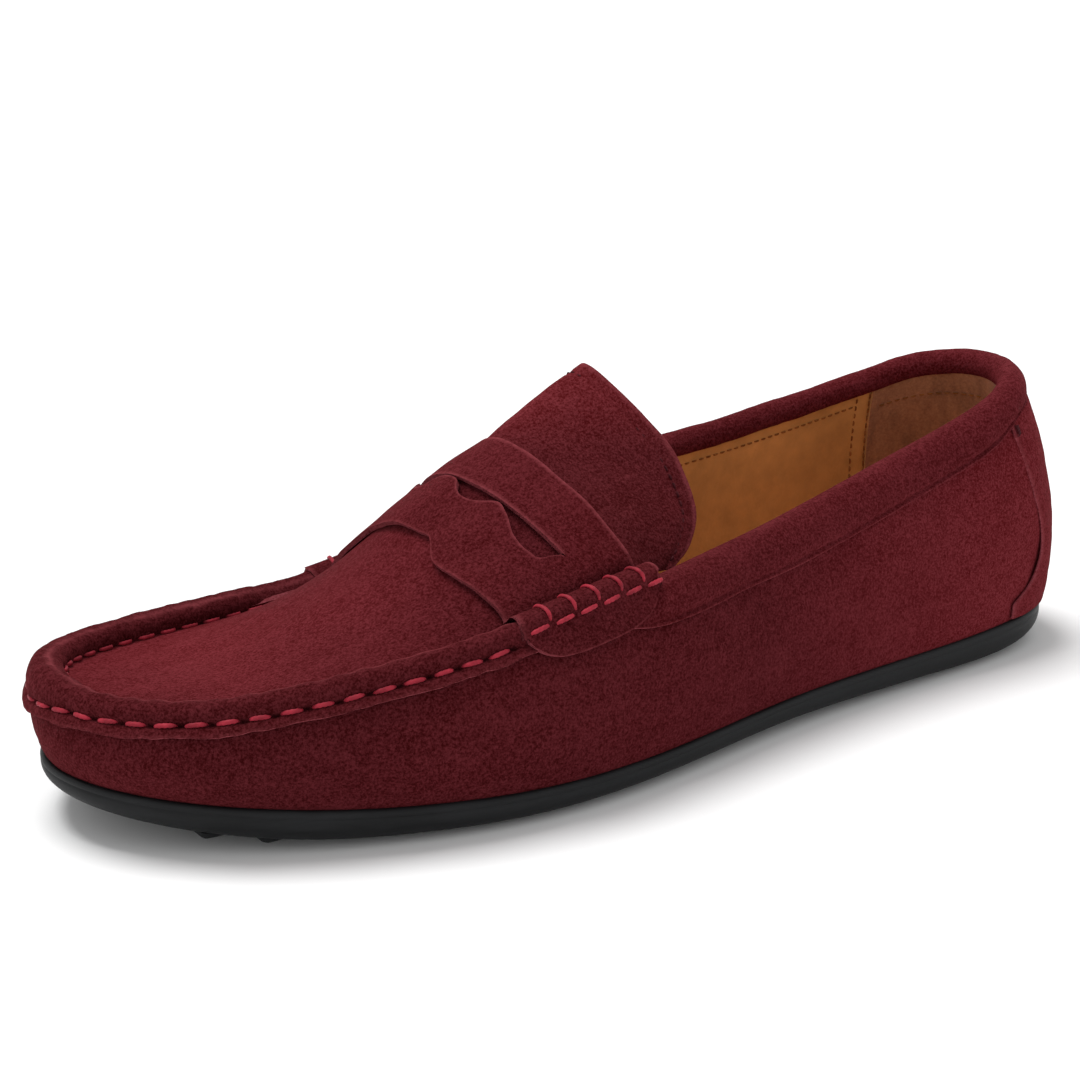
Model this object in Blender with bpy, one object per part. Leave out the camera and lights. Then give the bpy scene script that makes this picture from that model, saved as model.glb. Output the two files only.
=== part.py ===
"""Left penny loafer of moccasin make, men's EU 42: a suede upper, hand-stitched to its apron.

The toe points along -X, the outer (lateral) side of the foot along -Y, and +Z is up from the ground.
Sizes and tables are in millimetres, and the meshes made from them are in metres.

A place on the shoe's side is a station number, a drop and a depth. Stations run round the shoe from 0 at
the back of the heel, down the outer side to 9 at the toe, and along the inner side to 18, which is 0
again. The drop is measured down the wall from its rim, and the depth inwards from its outer face.
"""

import math

import bmesh
import bpy
import numpy as np
from mathutils import Matrix

MM = 0.001
CENTRE = (2.6, -3.95, 0.0)  # middle of the shoe's box on the ground, which becomes the origin

# --- Layers
SUEDE = 1.2
STIFFENER = 0.8
LINING = 0.8
BOARD = 1.2
FOAM = 1.4
SOCK = 0.7
GAP = 0.3
STIFFENER_DEPTH = SUEDE + GAP
LINING_DEPTH = STIFFENER_DEPTH + STIFFENER + GAP
GRIP_DEPTH = LINING_DEPTH + LINING + GAP

# --- Plan of the feather line, where the wall meets the sole, and the wall's rim, station by station
TOE = 9
STEP = 0.3  # layers share the same stations, so that their facets nest
FEATHER = (
    (140, 0), (131, -22), (109, -32), (71, -36), (26, -41.5), (-19, -50.5), (-60, -51), (-100, -38),
    (-127, -19), (-135, 3), (-124.5, 25), (-101, 37.5), (-62, 45), (-20, 41), (26, 33), (71, 30),
    (109, 28.5), (131, 19.5),
)
RIM = (
    (131, 0, 71.5), (123, -16.5, 69.5), (104, -25, 63), (68, -29, 54), (25, -36.5, 46.5), (-18, -45.5, 42.5),
    (-60, -49, 36.5), (-101, -39, 30), (-125, -21, 29), (-134, 3, 31), (-124, 25, 29.5), (-99, 36, 28.5),
    (-60, 40.5, 32), (-18, 35.5, 43.5), (25, 29, 52.5), (68, 27, 58.5), (104, 24.5, 65), (123, 16, 70.5),
)
BELLY = (4.5, 5, 4, 3, 3, 3.5, 3.5, 3, 2.5, 2, 2.5, 3, 3.5, 3.5, 3, 3, 4, 5)  # swell of the wall between
BELLY_AT = 0.42  # share of the height where it swells most
WALL_ROWS = np.linspace(0, 1, 7)
LINING_ROWS = np.linspace(0, 1, 5)
MARGIN = 9.0  # width of the suede turned in under the insole board
LINING_ABOVE_SOLE = 1.8
QUARTER_LINING_TOP = 1.4
TOE_PUFF_TOP = 3.5
BOARD_INSET = 4.5

# --- Heights along the shoe: (x, height) pairs
FEATHER_HEIGHT = (
    (-140, 15.5), (-125, 13), (-100, 10), (-60, 8), (-20, 7.6), (30, 8.4), (100, 9.4), (140, 11.5),
)
UNDERSIDE = (
    (-140, 10), (-125, 6.3), (-100, 2.3), (-70, 1.1), (-20, 1.1), (30, 1.6), (70, 1.1), (115, 1.2), (140, 4),
)

# --- Outsole
SOLE_PROUD = 0.4
SOLE_EDGE = ((-0.3, 0.4), (1.2, 0.75), (4.0, 1.0))  # (inset, share of the height) down its rounded edge
TREAD_INSET = 5.2
LUG_GROOVE = 0.9
BALL_LUGS = (-105, -5)
HEEL_LUGS = (62, 125)

# --- Seam between apron and wall, from the outer tab round the toe to the inner tab
SEAM_START = 5.1
SEAM_END = 2 * TOE - SEAM_START
WALL_STEP = 0.025  # the wall's top edge steps down to the collar over this much of a station
SEAM_RISE = 2.2  # how far the two edges sewn together stand above the rim
EDGE_DEPTH = 4.6
FLAP = 3.6

# --- Apron: heights of its crown above the line between its edges, by the distance from the toe in stations
APRON_END = TOE - SEAM_START
CROWN = ((0, 0), (1, 1.2), (2, 4), (3, 14.5), (3.5, 24.5), (3.9, 30), (4.2, 33))
CROWN_POWER = ((0, 0.9), (2, 0.9), (3, 0.85), (3.9, 0.8))
CROWN_SHAPE = 1.8
CROSSINGS = np.sin(np.linspace(-1.2, 1.2, 13))  # places across the apron, from -1 to 1, closer near its edges
LEAN = math.radians(27)  # slope of the instep, to which each arch over it is square

# --- Collar
COLLAR_END = 5.07
COLLAR_SEAM = 8.3  # drop of the collar band's lower edge
COLLAR_INNER_LEG = 4.5
WALL_BELOW_RIM = 5.5
COUNTER_BELOW_RIM = 11.0
GRIP_LENGTH = 42.0
PANEL_HALF = 1.65

# --- Penny strap
STRAP_FRONT = 3.23
STRAP_REAR = 4.11
STRAP_NOTCH = 0.13
TAB_FRONT = 3.16
TAB_REAR = 4.03
TAB_DROP = 5.5
STRAP_LIFT = 0.5
SLOT_HALF = 0.87
SLOT_MIDDLE = 0.52
STRAP_OUTSIDE = ((-2.3, -3), (-4.2, -1.9), (-5.3, 0.2), (-5.4, 2.6))  # (drop, depth) over the ridge
STRAP_INSIDE = ((-1.9, -1.8), (-3.4, -1), (-4.1, 0.5), (-4.2, 2.3))
THREAD = 0.5
STITCHES = 5

# --- Tongue: its root lies under the strap's rear edge, and its free edge passes through these points
TONGUE_START = 4.02
TONGUE_HINGE = (-26.4, -5, 69.7)  # a point on the level line that the tongue bends about
TONGUE_END = (
    (1.5, -30, 41.5), (9.5, -25.5, 45.5), (15.3, -20, 52.5), (14, -10, 65.5), (2.5, 2, 81.5), (2, 9, 81.5),
    (10, 17.5, 70.5), (16, 22, 60), (12, 24.5, 51.5),
)

# --- Curves and surfaces


def closed_spline(points):
    """A function of the station that passes smoothly through the points and closes on itself."""
    p = np.array(points, float)
    count = len(p)
    matrix = 4 * np.eye(count) + np.roll(np.eye(count), 1, axis=1) + np.roll(np.eye(count), -1, axis=1)
    slope = np.linalg.solve(matrix, 3 * (np.roll(p, -1, axis=0) - np.roll(p, 1, axis=0)))

    def at_station(u):
        u = np.asarray(u, float) % count
        i = np.floor(u).astype(int) % count
        j = (i + 1) % count
        f = (u - np.floor(u))[..., None]
        start = p[i] * (1 + 2 * f) * (1 - f) ** 2 + slope[i] * f * (1 - f) ** 2
        return start + p[j] * f**2 * (3 - 2 * f) + slope[j] * f**2 * (f - 1)

    return at_station


def smooth_through(pairs):
    """A function that passes smoothly through (x, value) pairs and is level past the two ends."""
    x, y = np.array(pairs, float).T
    slope = np.gradient(y, x)

    def at_x(value):
        v = np.clip(np.asarray(value, float), x[0], x[-1])
        i = np.clip(np.searchsorted(x, v, side="right") - 1, 0, len(x) - 2)
        width = x[i + 1] - x[i]
        f = (v - x[i]) / width
        start = y[i] * (1 + 2 * f) * (1 - f) ** 2 + slope[i] * width * f * (1 - f) ** 2
        return start + y[i + 1] * f**2 * (3 - 2 * f) + slope[i + 1] * width * f**2 * (f - 1)

    return at_x


def smooth_line(points):
    """A smooth line through points, as a function of the share of them passed."""
    p = np.array(points, float)
    ends = np.concatenate([2 * p[:1] - p[1:2], p, 2 * p[-1:] - p[-2:-1]])

    def at_share(f):
        f = np.clip(np.asarray(f, float), 0, 1) * (len(p) - 1)
        i = np.minimum(f.astype(int), len(p) - 2)
        g = (f - i)[..., None]
        a, b, c, d = (ends[i + k] for k in range(4))
        return b + 0.5 * g * (c - a + g * (2 * a - 5 * b + 4 * c - d + g * (3 * (b - c) + d - a)))

    return at_share


feather_plan = closed_spline(FEATHER)
rim = closed_spline(RIM)
belly = closed_spline([(swell,) for swell in BELLY])
feather_height = smooth_through(FEATHER_HEIGHT)
underside = smooth_through(UNDERSIDE)
crown_height = smooth_through(CROWN)
crown_power = smooth_through(CROWN_POWER)
tongue_end = smooth_line(TONGUE_END)


def unit(v):
    return v / np.linalg.norm(v, axis=-1, keepdims=True)


def outward(u):
    """The level direction that points out of the shoe at a station."""
    along = feather_plan(np.asarray(u) + 0.02) - feather_plan(np.asarray(u) - 0.02)
    return unit(np.stack([-along[..., 1], along[..., 0], np.zeros(along.shape[:-1])], axis=-1))


def foot(u, inset, rise):
    """The point inside the feather line by the inset and above it by the rise."""
    plan = feather_plan(u)
    point = np.concatenate([plan, plan[..., :1]], axis=-1) - outward(u) * inset
    point[..., 2] = feather_height(point[..., 0]) + rise
    return point


def wall(u, t):
    """The outer face of the side wall: t is 0 at the sole and 1 at the rim."""
    u, t = np.broadcast_arrays(np.asarray(u, float), np.asarray(t, float))
    low, top, t, b = foot(u, 0, 0), rim(u), t[..., None], BELLY_AT
    middle = low + (top - low) * b + outward(u) * belly(u)
    return low * (t - b) * (t - 1) / b + middle * t * (t - 1) / (b * (b - 1)) + top * t * (t - b) / (1 - b)


def wall_normal(u, t):
    across = wall(u + 0.01, t) - wall(u - 0.01, t)
    up = wall(u, t + 0.01) - wall(u, t - 0.01)
    return unit(np.cross(up, across))


def wall_length(u):
    """Length of the wall from rim to sole at a station."""
    line = wall(np.asarray(u, float)[..., None], np.linspace(0, 1, 9))
    return np.linalg.norm(np.diff(line, axis=-2), axis=-1).sum(axis=-1)


def at(u, drop, depth):
    """The point at a station, a drop (negative above the rim) and a depth (negative outside the wall)."""
    u, drop, depth = np.broadcast_arrays(*(np.asarray(v, float) for v in (u, drop, depth)))
    t = 1 - np.maximum(drop, 0) / wall_length(u)
    up = unit(wall(u, 1.0) - wall(u, 0.97))
    above = np.maximum(-drop, 0)[..., None]
    return wall(u, t) + up * above - wall_normal(u, t) * depth[..., None]


def lean_up(reach):
    """The way the crown rises: square to the instep's slope near the strap, and upright at the toe."""
    angle = LEAN * np.clip((np.asarray(reach) - 1.5) / 2, 0, 1)
    return np.stack([-np.sin(angle), np.zeros_like(angle), np.cos(angle)], axis=-1)


def apron_point(reach, w):
    """The apron's face at a distance from the toe in stations; w runs from -1 (outer) to 1 (inner)."""
    outer, inner = at(TOE - reach, 0.5, EDGE_DEPTH), at(TOE + reach, 0.5, EDGE_DEPTH)
    base = outer + (inner - outer) * ((w + 1) / 2)[..., None]
    rise = crown_height(reach) * (1 - np.minimum(np.abs(w) ** CROWN_SHAPE, 1)) ** crown_power(reach)
    return base + lean_up(reach) * rise[..., None]


def apron(reach, w, lift=0.0):
    """A point above the apron's face by the lift, or under it if negative."""
    reach, w = np.broadcast_arrays(np.asarray(reach, float), np.asarray(w, float))
    r, v = np.maximum(reach, 0.5), np.clip(w, -0.96, 0.96) * np.clip(reach / 0.5, 0, 1)
    along = apron_point(r + 0.02, v) - apron_point(r - 0.02, v)
    across = apron_point(r, v + 0.02) - apron_point(r, v - 0.02)
    return apron_point(reach, w) + unit(np.cross(along, across)) * lift


# --- Solids


def new_object(name, mesh, look):
    obj = bpy.data.objects.new(name, mesh)
    bpy.context.scene.collection.objects.link(obj)
    mesh.materials.append(look)
    mesh.shade_smooth()
    mesh.set_sharp_from_angle(angle=math.radians(40))
    return obj


def solid(name, faces, look):
    """A closed solid from faces given as lists of points, which are joined where they meet."""
    shape = bmesh.new()
    for corners in faces:
        shape.faces.new([shape.verts.new((np.asarray(point) - CENTRE) * MM) for point in corners])
    bmesh.ops.remove_doubles(shape, verts=shape.verts, dist=0.02 * MM)
    bmesh.ops.recalc_face_normals(shape, faces=shape.faces)
    mesh = bpy.data.meshes.new(name)
    shape.to_mesh(mesh)
    shape.free()
    return new_object(name, mesh, look)


def quads(grid, keep=None):
    """The four-cornered faces of a grid of points, all of them or those marked in keep."""
    for i, j in np.ndindex(grid.shape[0] - 1, grid.shape[1] - 1):
        if keep is None or keep[i, j]:
            yield [grid[i, j], grid[i + 1, j], grid[i + 1, j + 1], grid[i, j + 1]]


def edges(outer, inner, keep, folded):
    """The faces that join the edges of two grids, also round the cells left out of keep."""
    padded = np.pad(keep, 1)
    if folded[0]:
        padded[0] = padded[1]
    if folded[1]:
        padded[-1] = padded[-2]
    for i, j in zip(*np.nonzero(keep)):
        corners = ((i, j), (i + 1, j), (i + 1, j + 1), (i, j + 1))
        beyond = (padded[i + 1, j], padded[i + 2, j + 1], padded[i + 1, j + 2], padded[i, j + 1])
        for k, covered in enumerate(beyond):
            if not covered:
                a, b = corners[k], corners[(k + 1) % 4]
                yield [outer[a], outer[b], inner[b], inner[a]]


def layer(name, outer, inner, look, keep=None, folded=(False, False)):
    """A layer between two grids of points. An end row that is folded back on itself needs no edge."""
    if keep is None:
        keep = np.ones((outer.shape[0] - 1, outer.shape[1] - 1), bool)
    back = (face[::-1] for face in quads(inner, keep))
    return solid(name, [*quads(outer, keep), *back, *edges(outer, inner, keep, folded)], look)


def bar(name, sections, look):
    """A solid whose closed section is carried along a line: sections holds lines of points."""
    around = np.concatenate([sections, sections[:, :1]], axis=1)
    return solid(name, [*quads(around), list(sections[0]), list(sections[-1][::-1])], look)


def tube(name, path, radius, look, sides=6):
    """A thread: a round section along a path."""
    along = unit(np.gradient(path, axis=0))
    side = unit(np.cross(along, [0, 0, 1.0]))
    up = np.cross(side, along)
    angle = np.linspace(0, 2 * math.pi, sides, endpoint=False)[None, :, None]
    ring = side[:, None] * np.cos(angle) + up[:, None] * np.sin(angle)
    return bar(name, path[:, None] + radius * ring, look)


def stations(start, end, step=STEP):
    """The stations from start to end, at whole multiples of the step between the two."""
    between = step * np.arange(math.ceil(start / step + 0.15), math.floor(end / step - 0.15) + 1)
    return np.concatenate([[start], between, [end]])


def carried(u, section):
    """A section of (drop, depth) pairs carried round the shoe."""
    drop, depth = np.array(section, float).T
    return at(np.asarray(u)[:, None], drop, depth)


def wall_layer(name, u, top, depth, thickness, look):
    """A layer on the inside of the wall, from a drop below the rim down to the insole board."""
    drop = top + (wall_length(u) - LINING_ABOVE_SOLE - top)[:, None] * WALL_ROWS
    return layer(name, at(u[:, None], drop, depth), at(u[:, None], drop, depth + thickness), look)


def floor(reach, w, inset, rise):
    """A surface over the sole: reach from toe to heel, w from the outer side to the inner."""
    outer, inner = foot(TOE - reach, inset, rise)[:, None], foot(TOE + reach, inset, rise)[:, None]
    surface = outer + (inner - outer) * ((w + 1) / 2)[:, None]
    surface[..., 2] = feather_height(surface[..., 0]) + rise
    return surface


# --- Sole and floor


def sole_edge(u):
    """The lines of the sole's rounded edge at stations u, from its top to its underside."""
    lines = [foot(u, -SOLE_PROUD, -2 * GAP)]
    for inset, share in SOLE_EDGE:
        point = foot(u, inset, -2 * GAP)
        point[:, 2] += (underside(point[:, 0]) - point[:, 2]) * share
        lines.append(point)
    return np.stack(lines, axis=1)


def add_lugs(obj):
    """Draws a lug down to the ground from each four-cornered face of the ball's and the heel's underside."""
    shape = bmesh.new()
    shape.from_mesh(obj.data)
    chosen = []
    for face in shape.faces:
        x = face.calc_center_median().x / MM + CENTRE[0]
        tread = BALL_LUGS[0] < x < BALL_LUGS[1] or HEEL_LUGS[0] < x < HEEL_LUGS[1]
        if tread and face.normal.z < -0.95 and len(face.verts) == 4:
            chosen.append(face)
    bmesh.ops.inset_individual(shape, faces=chosen, thickness=LUG_GROOVE * MM)
    for face in chosen:
        for vertex in face.verts:
            vertex.co.z = -CENTRE[2] * MM
    shape.to_mesh(obj.data)
    shape.free()


def make_outsole(look):
    reach = stations(0, TOE)
    w = np.linspace(-1, 1, 7)
    top = floor(reach, w, -SOLE_PROUD, -2 * GAP)
    tread = floor(reach, w, TREAD_INSET, 0)
    tread[..., 2] = underside(tread[..., 0])
    bottom = np.concatenate([sole_edge(TOE - reach), tread, sole_edge(TOE + reach)[:, ::-1]], axis=1)
    add_lugs(solid("outsole", [*quads(top), *(face[::-1] for face in quads(bottom))], look))


def make_floor(name, inset, underneath, thickness, look):
    """A flat piece inside the shoe that fills it from toe to heel."""
    reach = stations(0, TOE)
    w = np.linspace(-1, 1, 3)
    upper, lower = floor(reach, w, inset, underneath + thickness), floor(reach, w, inset, underneath)
    layer(name, upper, lower, look, folded=(True, True))


# --- Upper


def make_wall(look):
    """The one-piece moccasin side: it rises into the seam in front and ends under the collar behind."""
    front = stations(SEAM_START, SEAM_END)
    u = np.concatenate([stations(0.03, SEAM_START - WALL_STEP), front, stations(SEAM_END + WALL_STEP, 17.97)])
    top = np.where((u > SEAM_START - 0.01) & (u < SEAM_END + 0.01), -SEAM_RISE, WALL_BELOW_RIM)
    faces = []
    for depth, above_sole, corner, rise in ((0, 0.8, 0.6, -GAP), (SUEDE, 1.6, 1.7, SUEDE - GAP)):
        drop = top[:, None] + (wall_length(u) - above_sole - top)[:, None] * WALL_ROWS
        turned_in = np.stack([foot(u, corner, rise), foot(u, MARGIN, rise)], axis=1)
        faces.append(np.concatenate([at(u[:, None], drop, depth), turned_in], axis=1))
    layer("vamp_wrap", *faces, look)


def upturned(reach, corner, tip):
    """The lines that turn the apron's two edges up into the seam, each given as a (drop, depth) pair."""
    drop, depth = np.array([tip, corner]).T
    return at(TOE - reach[:, None], drop, depth), at(TOE + reach[:, None], drop[::-1], depth[::-1])


def make_apron(look):
    reach = stations(0, APRON_END)
    w = np.concatenate([[-1], CROSSINGS, [1]])
    faces = []
    for corner, tip, lift in (((0.3, 2.8), (-SEAM_RISE, 2.7), 0), ((1.4, 1.5), (-SEAM_RISE, 1.5), -SUEDE)):
        left, right = upturned(reach, corner, tip)
        faces.append(np.concatenate([left, apron(reach[:, None], w, lift), right], axis=1))
    layer("apron", *faces, look, folded=(True, False))


def make_seam_roll(look):
    """The strip folded over the joined edges of wall and apron, whose outer leg ends as a raw edge."""
    u = stations(SEAM_START, SEAM_END)
    over = [(FLAP, -1.6), (1, -1.5), (-1.8, -1.5), (-3.1, -0.7), (-3.7, 0.6), (-3.7, 2.1), (-3.1, 3.4)]
    over += [(-1.9, 4.1), (-0.7, 4.2)]
    under = [(FLAP, -0.4), (1, -0.3), (-1.7, -0.3), (-2.2, 0), (-2.5, 0.7), (-2.5, 2), (-2.2, 2.7)]
    under += [(-1.7, 3), (-0.7, 3)]
    layer("seam_roll", carried(u, over), carried(u, under), look)


def make_vamp_lining(look):
    """The lining of the forefoot: up the outer wall, across under the apron and down the inner wall."""
    reach = stations(0, APRON_END)
    faces = []
    w = np.concatenate([[-1], CROSSINGS, [1]])
    for depth, top, lift in ((LINING_DEPTH, 4.4, 0), (LINING_DEPTH + LINING, 5.6, LINING)):
        walls = []
        for u, rows in ((TOE - reach, LINING_ROWS[::-1]), (TOE + reach, LINING_ROWS)):
            drop = top + (wall_length(u)[:, None] - LINING_ABOVE_SOLE - top) * rows
            walls.append(at(u[:, None], drop, depth))
        under_apron = apron(reach[:, None], w, -SUEDE - GAP - 0.2 - lift)
        faces.append(np.concatenate([walls[0], under_apron, walls[1]], axis=1))
    layer("vamp_lining", *faces, look, folded=(True, False))


def make_heel_grip(look):
    u = stations(-5 * STEP, 5 * STEP)
    drop = COLLAR_INNER_LEG + 0.7 + (GRIP_LENGTH * (1 - 0.1 * u**2))[:, None] * WALL_ROWS
    layer("heel_grip", at(u[:, None], drop, GRIP_DEPTH), at(u[:, None], drop, GRIP_DEPTH + LINING), look)


def make_collar(suede, foam):
    """The suede band folded over the top edge, and the foam that fills its fold."""
    over = [(COLLAR_SEAM, -1.5), (5.8, -1.5), (3.2, -1.5), (0.8, -1.3), (-0.9, -0.3), (-1.7, 1.2), (-1.5, 3)]
    over += [(-0.4, 4.5), (1.2, 4.9), (COLLAR_INNER_LEG, 4.9)]
    under = [(COLLAR_SEAM, -0.3), (5.8, -0.3), (3.2, -0.3), (1.2, -0.2), (0, 0.4), (-0.5, 1.4), (-0.4, 2.5)]
    under += [(0.2, 3.4), (1.2, 3.7), (COLLAR_INNER_LEG, 3.7)]
    u = stations(-COLLAR_END, COLLAR_END)
    layer("collar_band", carried(u, over), carried(u, under), suede)
    filling = [(5.1, 0), (3.2, 0), (1.5, 0.1), (0.4, 0.7), (-0.1, 1.5), (0, 2.2), (1, 2.3), (5.1, 2.3)]
    bar("collar_foam", carried(stations(STEP - COLLAR_END, COLLAR_END - STEP), filling), foam)


def make_heel_panel(look):
    """The panel sewn over the back of the wall, from the collar's seam to the sole."""
    u = stations(-PANEL_HALF, PANEL_HALF)
    top = COLLAR_SEAM + GAP + 0.1
    drop = top + (wall_length(u) - 2 - top)[:, None] * WALL_ROWS
    layer("heel_panel", at(u[:, None], drop, -SUEDE - GAP), at(u[:, None], drop, -GAP), look)


# --- Strap, tongue and threads


def strap_line(f):
    """Reach of the ends of a line along the strap: f is 0 at its front edge and 1 at its rear edge."""
    return TAB_FRONT + (TAB_REAR - TAB_FRONT) * f


def strap_reach(w, f):
    """Where a line along the strap crosses the instep. The front edge is notched in the middle."""
    front = STRAP_FRONT + STRAP_NOTCH * np.exp(-((w / 0.3) ** 2))
    crown = front + (STRAP_REAR - front) * f
    return crown + (strap_line(f) - crown) * w**4


def tab_edge(f):
    """How far the tab hangs below the rim: its lower edge is a round lobe."""
    return TAB_DROP * math.sqrt(1 - 0.45 * abs(2 * f - 1) ** 4)


def strap_row(f, lift, over_ridge):
    """A line along the strap: up the outer tab, over the ridge and the instep, down the inner tab."""
    side = over_ridge[0][1]
    drop, depth = np.array([(tab_edge(f[0]), side), (tab_edge(f[0]) / 2, side), (0, side), *over_ridge]).T
    reach = strap_line(f[0])
    left, right = at(TOE - reach, drop, depth), at(TOE + reach, drop[::-1], depth[::-1])
    return np.concatenate([left, apron(strap_reach(CROSSINGS, f), CROSSINGS, lift), right])


def make_strap(look):
    """The penny strap: a band over the instep with a slot, whose ends lap the ridge as tabs."""
    w = CROSSINGS
    level = np.ones(len(w))
    slot = 0.08 * np.clip(1 - (w / SLOT_HALF) ** 4, 0, 1)
    notch = 0.05 * np.exp(-((w / 0.12) ** 2))
    lines = [0 * level, 0.2 * level, SLOT_MIDDLE - slot - notch, SLOT_MIDDLE + slot, 0.78 * level, level]
    outer = np.array([strap_row(f, STRAP_LIFT + SUEDE, STRAP_OUTSIDE) for f in lines])
    inner = np.array([strap_row(f, STRAP_LIFT, STRAP_INSIDE) for f in lines])
    keep = np.ones((outer.shape[0] - 1, outer.shape[1] - 1), bool)
    tab_points = 3 + len(STRAP_OUTSIDE)
    in_slot = np.abs(w) < SLOT_HALF
    keep[2, tab_points : tab_points + len(w) - 1] = ~(in_slot[:-1] | in_slot[1:])
    layer("penny_strap", outer, inner, look, keep=keep)


def tongue_point(s, f):
    """The tongue's outer face: s runs from its root to its free edge, f from the outer side to the inner."""
    root = apron(TONGUE_START, np.sin(2.4 * (f - 0.5)), -GAP)
    return root + (tongue_end(f) - root) * s[..., None]


def tongue_face(s, f, depth):
    """The tongue's outer face, or a layer under it."""
    s, f = np.broadcast_arrays(s, f)
    middle = np.clip(f, 0.02, 0.98)
    across = tongue_point(s, middle + 0.02) - tongue_point(s, middle - 0.02)
    along = tongue_point(s + 0.02, middle) - tongue_point(s - 0.02, middle)
    return tongue_point(s, f) - unit(np.cross(along, across)) * depth


def hang_from(obj, point):
    """Puts an object's origin on a point of its joint's axis, and leaves its mesh where it was."""
    place = (np.array(point) - CENTRE) * MM
    obj.data.transform(Matrix.Translation(-place))
    obj.location = place


def make_tongue(suede, tan):
    f, s = np.linspace(0, 1, 17), np.linspace(0, 1, 6)[:, None]
    hang_from(layer("tongue", tongue_face(s, f, 0), tongue_face(s, f, SUEDE), suede), TONGUE_HINGE)
    f, s = np.clip(f, 0.02, 0.98), np.clip(s, 0.04, 0.985)
    under = SUEDE + 2 * GAP
    lining = layer("tongue_lining", tongue_face(s, f, under), tongue_face(s, f, under + LINING), tan)
    hang_from(lining, TONGUE_HINGE)


def make_threads(look):
    """The thread round the apron's ridge, and the whip stitching over the ridge under each tab."""
    clear = GAP + THREAD
    u = stations(TOE - TAB_FRONT + 0.12, TOE + TAB_FRONT - 0.12)
    tube("apron_thread", at(u, 1.6, -1.55 - clear), THREAD, look)
    share = np.linspace(0, 1, 4 * STITCHES + 1)
    swing = 0.5 - 0.5 * np.cos(2 * math.pi * STITCHES * share)
    reach = TAB_FRONT + 0.1 + (TAB_REAR - TAB_FRONT - 0.2) * share
    for name, side in (("strap_thread_lateral", -1), ("strap_thread_medial", 1)):
        path = at(TOE + side * reach, 2.6 - 5.0 * swing, -3.1 - clear)
        tube(name, path, THREAD, look)


# --- The shoe


def material(name, colour, roughness):
    made = bpy.data.materials.new(name)
    made.use_nodes = True
    shader = made.node_tree.nodes["Principled BSDF"]
    shader.inputs["Base Color"].default_value = (*colour, 1)
    shader.inputs["Roughness"].default_value = roughness
    shader.inputs["Metallic"].default_value = 0.0
    return made


def make_shoe():
    suede = material("suede", (0.085, 0.012, 0.016), 0.95)
    tan = material("lining_leather", (0.3, 0.125, 0.035), 0.55)
    grip = material("grip_leather", (0.085, 0.032, 0.012), 0.85)
    rubber = material("sole_rubber", (0.014, 0.014, 0.015), 0.6)
    board = material("fibre_board", (0.42, 0.31, 0.2), 0.9)
    foam = material("foam", (0.75, 0.72, 0.62), 0.95)
    thread = material("thread", (0.5, 0.045, 0.07), 0.6)
    make_outsole(rubber)
    foam_underside = SUEDE + BOARD + GAP
    make_floor("insole_board", BOARD_INSET, SUEDE, BOARD, board)
    make_floor("sock_foam", BOARD_INSET + 0.1, foam_underside, FOAM, foam)
    make_floor("sock_liner", BOARD_INSET - 0.1, foam_underside + FOAM + GAP, SOCK, tan)
    make_wall(suede)
    make_apron(suede)
    make_seam_roll(suede)
    make_vamp_lining(tan)
    outer_quarter, inner_quarter = stations(0.02, SEAM_START - STEP), stations(SEAM_END + STEP, 17.98)
    toe = stations(TOE - 6 * STEP, TOE + 6 * STEP)
    wall_layer("quarter_lining_lateral", outer_quarter, QUARTER_LINING_TOP, LINING_DEPTH, LINING, tan)
    wall_layer("quarter_lining_medial", inner_quarter, QUARTER_LINING_TOP, LINING_DEPTH, LINING, tan)
    wall_layer("toe_puff", toe, TOE_PUFF_TOP, STIFFENER_DEPTH, STIFFENER, board)
    wall_layer("heel_counter", stations(-3, 3), COUNTER_BELOW_RIM, STIFFENER_DEPTH, STIFFENER, board)
    make_heel_grip(grip)
    make_collar(suede, foam)
    make_heel_panel(suede)
    make_strap(suede)
    make_tongue(suede, tan)
    make_threads(thread)


for old in list(bpy.data.objects):
    bpy.data.objects.remove(old)
make_shoe()
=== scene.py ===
"""Looks of a left suede penny loafer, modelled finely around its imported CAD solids.

Lengths in the tables are millimetres, as in the CAD source, whose driving dimensions and formulas are
repeated here. A place on the shoe's side is a station (0 at the back of the heel, 9 at the toe, 18 at the
heel again, first along the outer side), a drop below the wall's rim, and a depth inwards from its outer face.
"""

import math

import bmesh
import bpy
import numpy as np
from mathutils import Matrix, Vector


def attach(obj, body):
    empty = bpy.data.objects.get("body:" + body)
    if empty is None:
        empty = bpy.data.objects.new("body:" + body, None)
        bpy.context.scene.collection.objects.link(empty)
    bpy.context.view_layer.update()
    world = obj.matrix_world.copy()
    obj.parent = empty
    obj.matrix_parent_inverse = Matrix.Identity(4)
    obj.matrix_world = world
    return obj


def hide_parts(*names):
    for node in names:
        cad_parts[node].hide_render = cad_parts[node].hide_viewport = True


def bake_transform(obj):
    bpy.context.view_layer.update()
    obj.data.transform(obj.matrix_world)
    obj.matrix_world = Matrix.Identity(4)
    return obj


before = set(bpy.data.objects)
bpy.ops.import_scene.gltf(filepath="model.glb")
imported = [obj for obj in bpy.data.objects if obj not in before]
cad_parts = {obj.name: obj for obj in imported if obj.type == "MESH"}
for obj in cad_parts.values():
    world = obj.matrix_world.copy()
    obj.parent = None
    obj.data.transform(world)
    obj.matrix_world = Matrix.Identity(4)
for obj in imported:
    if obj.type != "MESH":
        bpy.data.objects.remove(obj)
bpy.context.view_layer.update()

MM = 0.001
CENTRE = (2.6, -3.95, 0.0)
BODY = "shoe"
TOE = 9

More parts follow.
